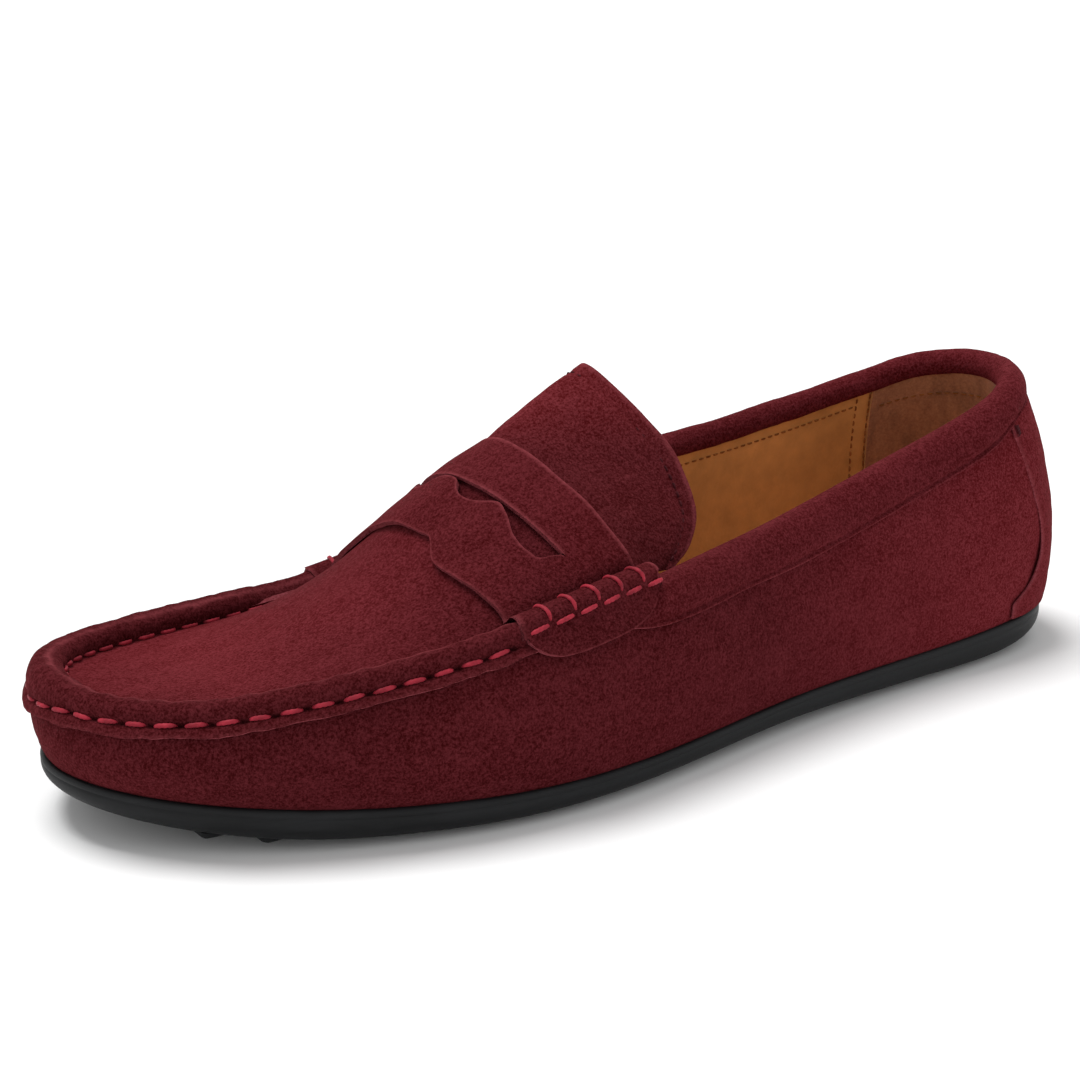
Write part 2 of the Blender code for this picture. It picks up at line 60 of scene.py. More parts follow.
# --- Driving dimensions shared with the CAD
FEATHER = (
    (140, 0), (131, -22), (109, -32), (71, -36), (26, -41.5), (-19, -50.5), (-60, -51), (-100, -38),
    (-127, -19), (-135, 3), (-124.5, 25), (-101, 37.5), (-62, 45), (-20, 41), (26, 33), (71, 30),
    (109, 28.5), (131, 19.5),
)
RIM = (
    (131, 0, 71.5), (123, -16.5, 69.5), (104, -25, 63), (68, -29, 54), (25, -36.5, 46.5), (-18, -45.5, 42.5),
    (-60, -49, 36.5), (-101, -39, 30), (-125, -21, 29), (-134, 3, 31), (-124, 25, 29.5), (-99, 36, 28.5),
    (-60, 40.5, 32), (-18, 35.5, 43.5), (25, 29, 52.5), (68, 27, 58.5), (104, 24.5, 65), (123, 16, 70.5),
)
BELLY = (4.5, 5, 4, 3, 3, 3.5, 3.5, 3, 2.5, 2, 2.5, 3, 3.5, 3.5, 3, 3, 4, 5)
BELLY_AT = 0.42
FEATHER_HEIGHT = (
    (-140, 15.5), (-125, 13), (-100, 10), (-60, 8), (-20, 7.6), (30, 8.4), (100, 9.4), (140, 11.5),
)
UNDERSIDE = (
    (-140, 10), (-125, 6.3), (-100, 2.3), (-70, 1.1), (-20, 1.1), (30, 1.6), (70, 1.1), (115, 1.2), (140, 4),
)
CROWN = ((0, 0), (1, 1.2), (2, 4), (3, 15.2), (3.5, 25.4), (3.9, 30.6), (4.2, 33))
CROWN_POWER = ((0, 0.9), (2, 0.9), (3, 0.85), (3.9, 0.8))
CROWN_SHAPE = 1.8
LEAN = math.radians(27)
SUEDE = 1.2
LINING_DEPTH = 2.6
LINING_SEAM = 1.9  # station of the welted seam on either side of the heel
GRIP_DEPTH = 3.7
SOCK_RISE = 5.1
GAP = 0.3
TONGUE_START = 4.02
TONGUE_END = (
    (1.5, -30, 41.5), (9.5, -25.5, 45.5), (15.3, -20, 52.5), (14, -10, 65.5), (2.5, 2, 81.5), (2, 9, 81.5),
    (10, 17.5, 70.5), (16, 22, 60), (12, 24.5, 51.5),
)

# --- Sole: its edge, as (inset from the feather line, share of the way down to the underside) pairs
SOLE_EDGE = (
    (1.4, 0.0), (-0.1, -0.02), (-0.75, 0.05), (-0.85, 0.17), (-0.7, 0.24), (-0.85, 0.34), (-0.65, 0.55),
    (0.1, 0.76), (1.6, 0.93), (4.2, 1.0),
)

# --- Tread blocks: half size and pitch along and across the sole
STUD_HALF = (4.6, 4.9)
STUD_PITCH = (10.4, 11.6)
STUD_FRONT, STUD_BACK = -110.6, 133.0
ARCH = (-2, 56)
STUD_INSET = 7.6
STUD_HEIGHT = 1.1
STUD_CORNER = 0.3

# --- Seam round the apron: extra height of its ridge over the rim, (station, height) pairs
SEAM_LIFT = (
    (0, 0), (4.6, 0.6), (5.2, 1.6), (6, 1.9), (6.8, 2.1), (7.8, 0.5), (8.5, -0.9), (9.2, -0.4), (10, 0),
    (11.2, -0.3), (11.7, -2.1), (12.1, -4.2), (12.8, -4.2), (13.4, -1.2), (18, 0),
)
SEAM_START = 5.1
SEAM_END = 2 * TOE - SEAM_START
EDGE_DEPTH = 4.6
EDGE_DROP = -1.6
CREASE = 2.1  # how far the apron's edge lies above the CAD's
FLAP = 3.5
STITCH_DROP = 1.1
STITCH_PITCH = 6.3
STITCH_LENGTH = 4.6
STITCH_SHARE = 3 / 14  # where the stitches lie along the ridge's section
TOE_HANG = 2.4  # how much lower the stitches and the flap lie round the tip of the toe
TOE_SWELL = 1.0
ROLL_OVER = (
    (FLAP, -1.75), (2.9, -1.75), (1.9, -1.5), (STITCH_DROP, -1.0), (0.3, -1.55), (-0.9, -2.1), (-2.3, -2.05),
    (-3.5, -1.15), (-4.2, 0.35), (-4.3, 1.9), (-3.8, 3.25), (-2.7, 4.15), (-1.3, 4.3), (-0.2, 4.2),
    (0.6, 4.5),
)  # the ridge's outer face, (drop, depth) pairs from its raw edge over to the apron
ROLL_UNDER = (
    (FLAP, -0.5), (2.9, -0.45), (1.9, -0.3), (STITCH_DROP, -0.25), (0.3, -0.3), (-0.9, -0.6), (-2.0, -0.6),
    (-2.7, 0.1), (-3.1, 0.9), (-3.1, 1.8), (-2.7, 2.5), (-1.9, 3.0), (-1.0, 3.1), (-0.2, 3.1), (0.6, 3.2),
)
EDGE_ROUND = 0.3
THREAD = 0.5
FINE_THREAD = 0.26
TONGUE_STITCH = 0.91  # how far along the tongue its row of stitches lies
FINE_PITCH, FINE_DASH = 2.3, 1.5
THREAD_FLATNESS = 0.8

# --- Collar
COLLAR_END = 5.3
COLLAR_SEAM = (
    (0, 5.4), (1, 5.6), (1.7, 5.9), (2, 7.1), (2.6, 7.8), (3.4, 8.1), (3.9, 7.9), (4.3, 7.4), (4.8, 7.5),
    (4.95, 7.1), (5.07, 6.1), (5.2, 4.4), (5.3, 3),
)  # drop of its lower edge, (station, drop) pairs
COLLAR_LEG = 8.2  # the same in its section, which is stretched to fit
COLLAR_OVER = (
    (8.2, -1.25, 0), (7.7, -1.4, 0), (7, -1.15, 0), (6.2, -1.75, 0), (4.2, -2.2, 0.05), (2, -2.3, 0.2),
    (0, -1.9, 0.5), (-1.4, -0.8, 0.85), (-2.1, 0.7, 1), (-2, 2.4, 1), (-1.2, 3.9, 0.8), (0.1, 4.9, 0.5),
    (1.5, 5.2, 0.2), (2.6, 4.9, 0),
)  # its outer face as (drop, depth, share of the padding's rise)
COLLAR_UNDER = (
    (8.2, -0.3, 0), (7.7, -0.3, 0), (7, -0.2, 0), (6.2, -0.5, 0), (4.2, -0.9, 0.05), (2, -1, 0.2),
    (0.6, -0.7, 0.5), (-0.4, -0.1, 0.85), (-0.9, 0.9, 1), (-0.8, 2.2, 1), (-0.2, 3, 0.8), (0.8, 3.7, 0.5),
    (1.7, 4, 0.2), (2.6, 3.9, 0),
)  # its inner face, the same way
COLLAR_FOAM = (
    (4.9, 0), (3.5, -0.2), (1.5, -0.3), (0.2, 0.3), (-0.5, 1.3), (-0.3, 2.2), (0.8, 2.4), (3.5, 2.3),
    (4.9, 2.3),
)  # the foam's outline as (drop, depth)
COLLAR_POINTS = 44
# Padding above the rim, (station, rise) pairs, and half the heel panel's width, (drop, stations) pairs
COLLAR_RISE = ((0, 0.2), (1.2, 1), (2.5, 1.8), (4.3, 1.4), (5.1, 0.8), (12.9, 0), (18, 0.2))
HEEL_PANEL = ((8.2, 1.7), (15, 1.66), (27, 1.58), (36, 1.5), (46, 1.53), (52, 1.72), (56, 1.96))

# --- Penny strap, in stations from the toe
STRAP_REAR = 4.11
STRAP_FRONT = 3.23
STRAP_NOTCH = 0.135
TAB_FRONT = 3.16
TAB_REAR = 4.06
TAB_DROP = 6.7
SLOT_REAR = 3.765
SLOT_END = 0.81
SLOT_OPENING = (
    (0, 0.012), (0.07, 0.02), (0.16, 0.085), (0.25, 0.105), (0.34, 0.075), (0.42, 0.022), (0.5, 0.05),
    (0.62, 0.125), (0.73, 0.14), (0.785, 0.105), (0.81, 0.012), (1, 0.012),
)
STRAP_LIFT = 0.5
TAB_PROFILE = (
    (0.6, -2.75), (-0.9, -2.9), (-2.6, -3.2), (-4.1, -2.5), (-5.2, -0.8), (-5.5, 1.1), (-5.2, 2.9),
    (-4.8, 4.4),
)
TAB_HEIGHT = {-1: 1.0, 1: 0.52}  # share of the profile's height over the outer and over the inner ridge
WHIP_STITCHES = 5


# --- Curves and surfaces


def closed_spline(points):
    """A function of the station that passes smoothly through the points and closes on itself."""
    p = np.array(points, float)
    count = len(p)
    matrix = 4 * np.eye(count) + np.roll(np.eye(count), 1, axis=1) + np.roll(np.eye(count), -1, axis=1)
    slope = np.linalg.solve(matrix, 3 * (np.roll(p, -1, axis=0) - np.roll(p, 1, axis=0)))

    def at_station(u):
        u = np.asarray(u, float) % count
        i = np.floor(u).astype(int) % count
        j = (i + 1) % count
        f = (u - np.floor(u))[..., None]
        start = p[i] * (1 + 2 * f) * (1 - f) ** 2 + slope[i] * f * (1 - f) ** 2
        return start + p[j] * f**2 * (3 - 2 * f) + slope[j] * f**2 * (f - 1)

    return at_station


def smooth_through(pairs):
    """A function that passes smoothly through (x, value) pairs and is level past the two ends."""
    x, y = np.array(pairs, float).T
    slope = np.gradient(y, x)

    def at_x(value):
        v = np.clip(np.asarray(value, float), x[0], x[-1])
        i = np.clip(np.searchsorted(x, v, side="right") - 1, 0, len(x) - 2)
        width = x[i + 1] - x[i]
        f = (v - x[i]) / width
        start = y[i] * (1 + 2 * f) * (1 - f) ** 2 + slope[i] * width * f * (1 - f) ** 2
        return start + y[i + 1] * f**2 * (3 - 2 * f) + slope[i + 1] * width * f**2 * (f - 1)

    return at_x


def smooth_line(points):
    """A smooth line through points, as a function of the share of them passed."""
    p = np.array(points, float)
    ends = np.concatenate([2 * p[:1] - p[1:2], p, 2 * p[-1:] - p[-2:-1]])

    def at_share(f):
        f = np.clip(np.asarray(f, float), 0, 1) * (len(p) - 1)
        i = np.minimum(f.astype(int), len(p) - 2)
        g = (f - i)[..., None]
        a, b, c, d = (ends[i + k] for k in range(4))
        return b + 0.5 * g * (c - a + g * (2 * a - 5 * b + 4 * c - d + g * (3 * (b - c) + d - a)))

    return at_share


def smooth_step(x):
    x = np.clip(x, 0, 1)
    return x * x * (3 - 2 * x)


def hill(x, middle, width):
    """A bell-shaped rise of 1 at the middle."""
    return np.exp(-(((x - middle) / width) ** 2))


def distance(points):
    """How far along a line of points each one lies."""
    return np.concatenate([[0], np.cumsum(np.linalg.norm(np.diff(points, axis=0), axis=1))])


feather_plan = closed_spline(FEATHER)
rim = closed_spline(RIM)
belly = closed_spline([(swell,) for swell in BELLY])
feather_height = smooth_through(FEATHER_HEIGHT)
underside = smooth_through(UNDERSIDE)
crown_height = smooth_through(CROWN)
crown_power = smooth_through(CROWN_POWER)
tongue_end = smooth_line(TONGUE_END)
seam_lift = smooth_through(SEAM_LIFT)
collar_rise = smooth_through(COLLAR_RISE)
collar_seam = smooth_through(COLLAR_SEAM)
slot_opening = smooth_through(SLOT_OPENING)
panel_half = smooth_through(HEEL_PANEL)


def unit(v):
    return v / np.maximum(np.linalg.norm(v, axis=-1, keepdims=True), 1e-12)


def outward(u):
    along = feather_plan(np.asarray(u) + 0.02) - feather_plan(np.asarray(u) - 0.02)
    return unit(np.stack([-along[..., 1], along[..., 0], np.zeros(along.shape[:-1])], axis=-1))


def foot(u, inset, rise):
    """The point inside the feather line by the inset and above it by the rise."""
    plan = feather_plan(u)
    point = np.concatenate([plan, plan[..., :1]], axis=-1) - outward(u) * np.asarray(inset, float)[..., None]
    point[..., 2] = feather_height(point[..., 0]) + rise
    return point


def wall(u, t):
    """The outer face of the side wall: t is 0 at the sole and 1 at the rim."""
    u, t = np.broadcast_arrays(np.asarray(u, float), np.asarray(t, float))
    low, top, t, b = foot(u, 0, 0), rim(u), t[..., None], BELLY_AT
    middle = low + (top - low) * b + outward(u) * belly(u)
    return low * (t - b) * (t - 1) / b + middle * t * (t - 1) / (b * (b - 1)) + top * t * (t - b) / (1 - b)


def wall_normal(u, t):
    across = wall(u + 0.01, t) - wall(u - 0.01, t)
    up = wall(u, t + 0.01) - wall(u, t - 0.01)
    return unit(np.cross(up, across))


def wall_length(u):
    """Length of the wall from rim to sole at a station."""
    line = wall(np.asarray(u, float)[..., None], np.linspace(0, 1, 9))
    return np.linalg.norm(np.diff(line, axis=-2), axis=-1).sum(axis=-1)


def at(u, drop, depth):
    """The point at a station, a drop (negative above the rim) and a depth (negative outside the wall)."""
    u, drop, depth = np.broadcast_arrays(*(np.asarray(v, float) for v in (u, drop, depth)))
    t = 1 - np.maximum(drop, 0) / wall_length(u)
    up = unit(wall(u, 1.0) - wall(u, 0.97))
    above = np.maximum(-drop, 0)[..., None]
    return wall(u, t) + up * above - wall_normal(u, t) * depth[..., None]


def seam(u, drop, depth):
    """The same, with the drop measured from the stitched seam's own height."""
    return at(u, np.asarray(drop, float) - seam_lift(u), depth)


def lean_up(reach):
    """The way the crown rises: square to the instep's slope near the strap, and upright at the toe."""
    angle = LEAN * np.clip((np.asarray(reach) - 1.5) / 2, 0, 1)
    return np.stack([-np.sin(angle), np.zeros_like(angle), np.cos(angle)], axis=-1)


def apron_point(reach, w):
    """The apron's face: reach is the number of stations from the toe, w runs from -1 (outer) to 1 (inner)."""
    outer, inner = seam(TOE - reach, EDGE_DROP, EDGE_DEPTH), seam(TOE + reach, EDGE_DROP, EDGE_DEPTH)
    base = outer + (inner - outer) * ((w + 1) / 2)[..., None]
    height = np.maximum(crown_height(reach) - seam_lift(TOE - reach) / 2 - CREASE, 0.6)
    rise = height * (1 - np.minimum(np.abs(w) ** CROWN_SHAPE, 1)) ** crown_power(reach)
    return base + lean_up(reach) * rise[..., None]


def apron(reach, w, lift=0.0):
    """A point above the apron's face by the lift, or under it if negative."""
    reach, w, lift = np.broadcast_arrays(*(np.asarray(v, float) for v in (reach, w, lift)))
    r, v = np.maximum(reach, 0.5), np.clip(w, -0.96, 0.96) * np.clip(reach / 0.5, 0, 1)
    along = apron_point(r + 0.02, v) - apron_point(r - 0.02, v)
    across = apron_point(r, v + 0.02) - apron_point(r, v - 0.02)
    return apron_point(reach, w) + unit(np.cross(along, across)) * lift[..., None]


def waves(points, length, seed, count=24):
    """A smooth random field of unit size over points: plane waves of about this length in many directions."""
    random = np.random.default_rng(seed)
    direction = unit(random.normal(size=(count, 3)))
    direction = direction * (2 * math.pi / (length * random.uniform(0.7, 1.5, count)))[:, None]
    phase = random.uniform(0, 2 * math.pi, count)
    return np.sin(points @ direction.T + phase).sum(axis=-1) * math.sqrt(2 / count)


def pile_patches_and_painted_light(points, painted_heel_light):
    """How much lighter the suede is drawn: random patches where the pile lies another way, and painted light
    that grows towards the heel.
    """
    patches = 0.5 + 0.5 * np.tanh(waves(points, 70, 7, 10))
    return np.clip(painted_heel_light * smooth_step((points[..., 0] - 5) / 110) + 0.14 * patches, 0, 1)


def spread(start, end, spacing, curve):
    """Values from start to end that lie about this many millimetres apart along the curve."""
    fine = np.linspace(start, end, 1200)
    length = distance(curve(fine))
    return np.interp(np.linspace(0, length[-1], max(2, round(length[-1] / spacing) + 1)), length, fine)


def rim_stations(start, end, spacing):
    return spread(start, end, spacing, lambda u: at(u, 3.0, 0.0))


# --- Meshes


def quads(index):
    """The faces between a grid of vertex numbers."""
    return np.stack([index[:-1, :-1], index[1:, :-1], index[1:, 1:], index[:-1, 1:]], axis=-1).reshape(-1, 4)


def tube_faces(count, steps, around):
    """The faces of a number of closed tubes, each a stack of rings."""
    index = np.arange(count * steps * around).reshape(count, steps, around)
    ahead = np.roll(index, -1, axis=2)
    sides = np.stack([index[:, :-1], ahead[:, :-1], ahead[:, 1:], index[:, 1:]], axis=-1).reshape(-1, 4)
    return [*sides.tolist(), *index[:, 0, ::-1].tolist(), *index[:, -1].tolist()]


def new_piece(name, vertices, faces, looks, body, nodes=(), face_look=None, marks=None, sharp=50):
    """A piece from points in millimetres, its looks, the body it rides on and the CAD nodes it replaces."""
    mesh = bpy.data.meshes.new(name)
    mesh.from_pydata(((np.asarray(vertices) - CENTRE) * MM).tolist(), [], [list(map(int, f)) for f in faces])
    for look in looks:
        mesh.materials.append(look)
    if face_look is not None:
        mesh.polygons.foreach_set("material_index", np.asarray(face_look, np.int32))
    for mark, values in (marks or {}).items():
        mesh.attributes.new(mark, "FLOAT", "POINT").data.foreach_set("value", values.astype(np.float32))
    shape = bmesh.new()
    shape.from_mesh(mesh)
    bmesh.ops.remove_doubles(shape, verts=shape.verts, dist=0.008 * MM)
    bmesh.ops.dissolve_degenerate(shape, dist=0.004 * MM, edges=shape.edges)
    if shape.calc_volume(signed=True) < 0:
        bmesh.ops.reverse_faces(shape, faces=shape.faces)
    shape.to_mesh(mesh)
    shape.free()
    mesh.shade_smooth()
    mesh.set_sharp_from_angle(angle=math.radians(sharp))
    piece = bpy.data.objects.new(name, mesh)
    bpy.context.scene.collection.objects.link(piece)
    if body:
        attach(piece, body)
    if nodes:
        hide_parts(*nodes)
    return piece


def shell(
    name, outer, inner, looks, body, slot, nodes, keep=None, folded=(False, False), marks=None, round_edge=0.0
):
    """A layer between two grids of points, with its cut edges in the second look.

    marks holds grids of numbers for the materials: how pale from wear and painted highlights, how much
    lighter from pile patches and painted light, and how dark from needle holes and painted shade.
    """
    rows, columns = outer.shape[:2]
    if keep is None:
        keep = np.ones((rows - 1, columns - 1), bool)
    index = np.arange(rows * columns).reshape(rows, columns)
    i, j = np.nonzero(keep)
    corners = [index[i, j], index[i + 1, j], index[i + 1, j + 1], index[i, j + 1]]
    front = np.stack(corners, axis=1)
    back = front[:, ::-1] + rows * columns
    padded = np.pad(keep, 1)
    if folded[0]:
        padded[0] = padded[1]
    if folded[1]:
        padded[-1] = padded[-2]
    beyond = (padded[i + 1, j], padded[i + 2, j + 1], padded[i + 1, j + 2], padded[i, j + 1])
    edge = []
    for k, covered in enumerate(beyond):
        a, b = corners[k][~covered], corners[(k + 1) % 4][~covered]
        edge.append(np.stack([b, a, a + rows * columns, b + rows * columns], axis=1))
    edge = np.concatenate(edge)
    faces = np.concatenate([front, back, edge])
    face_look = np.concatenate([np.zeros(len(front) * 2, int), np.full(len(edge), min(1, len(looks) - 1))])
    vertices = np.concatenate([outer.reshape(-1, 3), inner.reshape(-1, 3)])
    used = np.unique(faces)
    renumber = np.zeros(len(vertices), int)
    renumber[used] = np.arange(len(used))
    values = {}
    for mark, grid in (marks or {}).items():
        values[mark] = np.tile(np.broadcast_to(grid, (rows, columns)).ravel(), 2)[used]
    piece = new_piece(name, vertices[used], renumber[faces], looks, body, nodes, face_look, values)
    if round_edge:
        rounding = piece.modifiers.new("rounded edge", "BEVEL")
        rounding.width = round_edge * MM
        rounding.segments = 2
        rounding.limit_method = "ANGLE"
        rounding.angle_limit = math.radians(55)
    return piece


def thread_pieces(name, paths, ups, radius, look, body, nodes=(), plies=2.2, around=10):
    """Stitches of twisted thread: each follows its own short path, with its ends drawn in."""
    paths, ups = np.asarray(paths, float), np.asarray(ups, float)
    count, steps = paths.shape[:2]
    along = unit(np.gradient(paths, axis=1))
    side = unit(np.cross(along, ups))
    up = np.cross(side, along)
    share = np.linspace(0, 1, steps)
    angle = np.linspace(0, 2 * math.pi, around, endpoint=False)
    taper = 0.3 + 0.7 * np.sqrt(np.clip(1 - np.abs(2 * share - 1) ** 2.8, 0, 1))
    ply = 1 + 0.1 * np.cos(2 * (angle[None, :] - 2 * math.pi * plies * share[:, None]))
    size = radius * taper[:, None] * ply
    wide, high = size * np.cos(angle), THREAD_FLATNESS * size * np.sin(angle)
    ring = side[:, :, None] * wide[None, ..., None] + up[:, :, None] * high[None, ..., None]
    vertices = (paths[:, :, None] + ring).reshape(-1, 3)
    faces = tube_faces(count, steps, around)
    return new_piece(name, vertices, faces, [look], body, nodes, sharp=80)


def arched(start, end, surface, height):
    """Paths of stitches from start to end, whose middles stand on the surface and whose ends dive into it."""
    share = np.linspace(0, 1, 9)
    place = np.asarray(start)[:, None] + (np.asarray(end) - np.asarray(start))[:, None] * share
    stand = height * (1.0 - 1.7 * np.abs(2 * share - 1) ** 4)
    low, high = surface(place, 0.0), surface(place, 1.0)
    up = unit(high - low)
    return low + up * stand[None, :, None], up


# --- Materials


class Look:
    """A material's node tree, with short calls to add nodes to it."""

    def __init__(self, name):
        self.material = bpy.data.materials.new(name)
        self.material.use_nodes = True
        self.tree = self.material.node_tree
        self.shader = self.tree.nodes["Principled BSDF"]
        self.place = self.add("ShaderNodeTexCoord").outputs["Object"]

    def add(self, kind, **settings):
        node = self.tree.nodes.new(kind)
        for key, value in settings.items():
            setattr(node, key, value)
        return node

    def link(self, source, target):
        self.tree.links.new(source, target)

    def put(self, **values):
        """Values that are the same all over, set on the shader's own sockets."""
        for key, value in values.items():
            self.shader.inputs[key.replace("_", " ")].default_value = value

    def stretched(self, scale, rotation=(0, 0, 0)):
        node = self.add("ShaderNodeMapping")
        node.inputs["Scale"].default_value = scale
        node.inputs["Rotation"].default_value = rotation
        self.link(self.place, node.inputs["Vector"])
        return node.outputs["Vector"]

    def noise(self, scale, detail=3.0, roughness=0.55, vector=None, distortion=0.0):
        node = self.add("ShaderNodeTexNoise")
        node.inputs["Scale"].default_value = scale
        node.inputs["Detail"].default_value = detail
        node.inputs["Roughness"].default_value = roughness
        node.inputs["Distortion"].default_value = distortion
        self.link(vector or self.place, node.inputs["Vector"])
        return node.outputs["Fac"]

    def cells(self, scale, feature="F1"):
        node = self.add("ShaderNodeTexVoronoi", feature=feature)
        node.inputs["Scale"].default_value = scale
        self.link(self.place, node.inputs["Vector"])
        return node.outputs["Distance"]

    def ranged(self, value, low, high, to_low=0.0, to_high=1.0):
        node = self.add("ShaderNodeMapRange")
        for socket, number in zip(("From Min", "From Max", "To Min", "To Max"), (low, high, to_low, to_high)):
            node.inputs[socket].default_value = number
        self.link(value, node.inputs["Value"])
        return node.outputs["Result"]

    def maths(self, operation, a, b):
        node = self.add("ShaderNodeMath", operation=operation)
        for socket, value in zip(node.inputs, (a, b)):
            if isinstance(value, (int, float)):
                socket.default_value = value
            else:
                self.link(value, socket)
        return node.outputs["Value"]

    def weighted(self, a, share, b, other_share):
        return self.maths("ADD", self.maths("MULTIPLY", a, share), self.maths("MULTIPLY", b, other_share))

    def mix(self, factor, a, b):
        node = self.add("ShaderNodeMix", data_type="RGBA")
        self.link(factor, node.inputs["Factor"])
        for socket, value in ((node.inputs[6], a), (node.inputs[7], b)):
            if isinstance(value, tuple):
                socket.default_value = (*value, 1)
            else:
                self.link(value, socket)
        return node.outputs[2]

    def attribute(self, name):
        return self.add("ShaderNodeAttribute", attribute_name=name).outputs["Fac"]

    def bump(self, height, distance, strength, under=None):
        node = self.add("ShaderNodeBump")
        node.inputs["Distance"].default_value = distance * MM
        node.inputs["Strength"].default_value = strength
        self.link(height, node.inputs["Height"])
        if under is not None:
            self.link(under, node.inputs["Normal"])
        return node.outputs["Normal"]

    def finish(self, colour, normal=None, roughness=None):
        self.link(colour, self.shader.inputs["Base Color"])
        if normal is not None:
            self.link(normal, self.shader.inputs["Normal"])
        if roughness is not None:
            self.link(roughness, self.shader.inputs["Roughness"])
        return self.material


def shades(colour, *factors):
    return [tuple(min(1.0, channel * factor) for channel in colour) for factor in factors]


def fibre_tones(colour, lift, contrast):
    """The dark and the light fibres of dyed suede, which differ more in greyness than in redness."""
    red, green, blue = (channel * lift for channel in colour)
    dark, light = 1 - 0.34 * contrast, 1 + 0.4 * contrast
    return (dark * red, 0.3 * green, 0.3 * blue), (light * red, (1 + contrast) * green, (1 + contrast) * blue)


def suede(name, colour, edge=False):
    """Napped suede: short fibres, patches where the pile lies another way, lighter with wear and with painted
    highlights and painted light, and darkened at needle holes and painted shade.
    """
    look = Look(name)
    fibre = look.noise(1700, detail=3, roughness=0.8)
    tuft = look.noise(640, detail=2, roughness=0.6, distortion=0.5)
    grain = look.stretched((60, 190, 190), (0, 0, 0.35))
    brushed_way = look.noise(1.0, detail=4, roughness=0.6, vector=grain)
    patch = look.noise(24, detail=2, roughness=0.5)
    nap_and_painted_light = look.weighted(fibre, 0.62, tuft, 0.14)
    lay = look.weighted(brushed_way, 0.1, patch, 0.07)
    tone = look.ranged(look.maths("ADD", nap_and_painted_light, lay), 0.385, 0.545)
    flat = look.mix(tone, *fibre_tones(colour, 1, 1.4))
    # painted light: a lighter copy of the suede, mixed in by the mark of pile patches and painted light
    ground = look.mix(look.attribute("nap_and_painted_light"), flat, look.mix(tone, *fibre_tones(colour, 1.9, 1.1)))
    # the pale colour of wear and cut edges, which also carries painted highlights
    wear_and_painted_highlight = tuple(channel + extra for channel, extra in zip(shades(colour, 1.7)[0], (0.11, 0.032, 0.037)))
    if edge:
        tone = look.ranged(fibre, 0.35, 0.65, 0.15, 0.7)
    else:
        tone = look.maths("MULTIPLY", look.attribute("wear_and_painted_highlight"), look.ranged(tuft, 0.3, 0.6, 0.5, 1.0))
    # needle holes and painted shade: near black where that mark is set
    colour = look.mix(look.attribute("needle_hole_and_painted_shade"), look.mix(tone, ground, wear_and_painted_highlight), shades(colour, 0.12)[0])
    height = look.weighted(fibre, 0.6, tuft, 0.8)
    look.put(Roughness=1.0, Specular_IOR_Level=0.03, Sheen_Weight=0.1, Sheen_Roughness=0.4)
    look.put(Sheen_Tint=(1.0, 0.14, 0.17, 1.0))
    return look.finish(colour, look.bump(height, 0.4, 0.8))


def smooth_leather(name, colour, gloss, grain):
    """Lining leather: fine pebbled grain, soft creases, and darker handled patches."""
    look = Look(name)
    dark, light = shades(colour, 0.78, 1.14)
    patch = look.noise(42, detail=4, roughness=0.55, distortion=0.4)
    mottle = look.noise(230, detail=3, roughness=0.6)
    tone = look.weighted(patch, 0.65, mottle, 0.35)
    colour = look.mix(look.ranged(tone, 0.36, 0.62), dark, light)
    pebble = look.cells(1150, "SMOOTH_F1")
    crease = look.noise(1.0, detail=3, vector=look.stretched((130, 130, 420), (0.2, 0.1, 0)))
    normal = look.bump(pebble, 0.12, 0.5, look.bump(crease, 0.35, 0.35))
    look.put(Specular_IOR_Level=0.4)
    return look.finish(colour, normal, look.ranged(mottle, 0.3, 0.7, gloss - 0.08, gloss + grain))


def brushed_leather(name, colour):
    """The heel grip's leather, roughened so that it holds the heel."""
    look = Look(name)
    dark, light = shades(colour, 0.7, 1.3)
    fibre = look.noise(1300, detail=3, roughness=0.7)
    streak = look.noise(1.0, detail=3, vector=look.stretched((260, 260, 60)))
    tone = look.weighted(fibre, 0.5, streak, 0.5)
    colour = look.mix(look.ranged(tone, 0.36, 0.62), dark, light)
    look.put(Roughness=0.85, Specular_IOR_Level=0.25, Sheen_Weight=0.15, Sheen_Roughness=0.5)
    return look.finish(colour, look.bump(fibre, 0.2, 0.6))


def waxed_thread(name, colour, gloss=0.5):
    look = Look(name)
    dark, light = shades(colour, 0.7, 1.2)
    fibre = look.noise(1900, detail=2)
    strand = look.noise(420, detail=2)
    colour = look.mix(look.ranged(strand, 0.35, 0.65), dark, light)
    look.put(Specular_IOR_Level=0.12)
    shine = look.ranged(fibre, 0.3, 0.7, gloss - 0.1, gloss + 0.15)
    return look.finish(colour, look.bump(fibre, 0.12, 0.6), shine)


def moulded_rubber(name, colour):
    """Matt moulded rubber, with the fine texture of its mould and faint scuffs."""
    look = Look(name)
    dark, light = shades(colour, 0.8, 1.5)
    texture = look.noise(1400, detail=2, roughness=0.6)
    scuff = look.noise(1.0, detail=4, roughness=0.65, vector=look.stretched((45, 45, 260)))
    colour = look.mix(look.ranged(scuff, 0.4, 0.68), dark, light)
    look.put(Specular_IOR_Level=0.14)
    return look.finish(colour, look.bump(texture, 0.08, 0.5), look.ranged(scuff, 0.35, 0.7, 0.46, 0.66))


def pressed_board(name, colour):
    look = Look(name)
    dark, light = shades(colour, 0.8, 1.15)
    fibre = look.noise(500, detail=4, roughness=0.7)
    look.put(Roughness=0.9, Specular_IOR_Level=0.2)
    return look.finish(look.mix(look.ranged(fibre, 0.35, 0.65), dark, light), look.bump(fibre, 0.15, 0.6))


def open_foam(name, colour):
    look = Look(name)
    dark, light = shades(colour, 0.7, 1.1)
    pore = look.cells(900)
    look.put(Roughness=0.95, Specular_IOR_Level=0.1, Subsurface_Weight=0.1)
    return look.finish(look.mix(look.ranged(pore, 0.1, 0.5), dark, light), look.bump(pore, 0.3, 0.8))


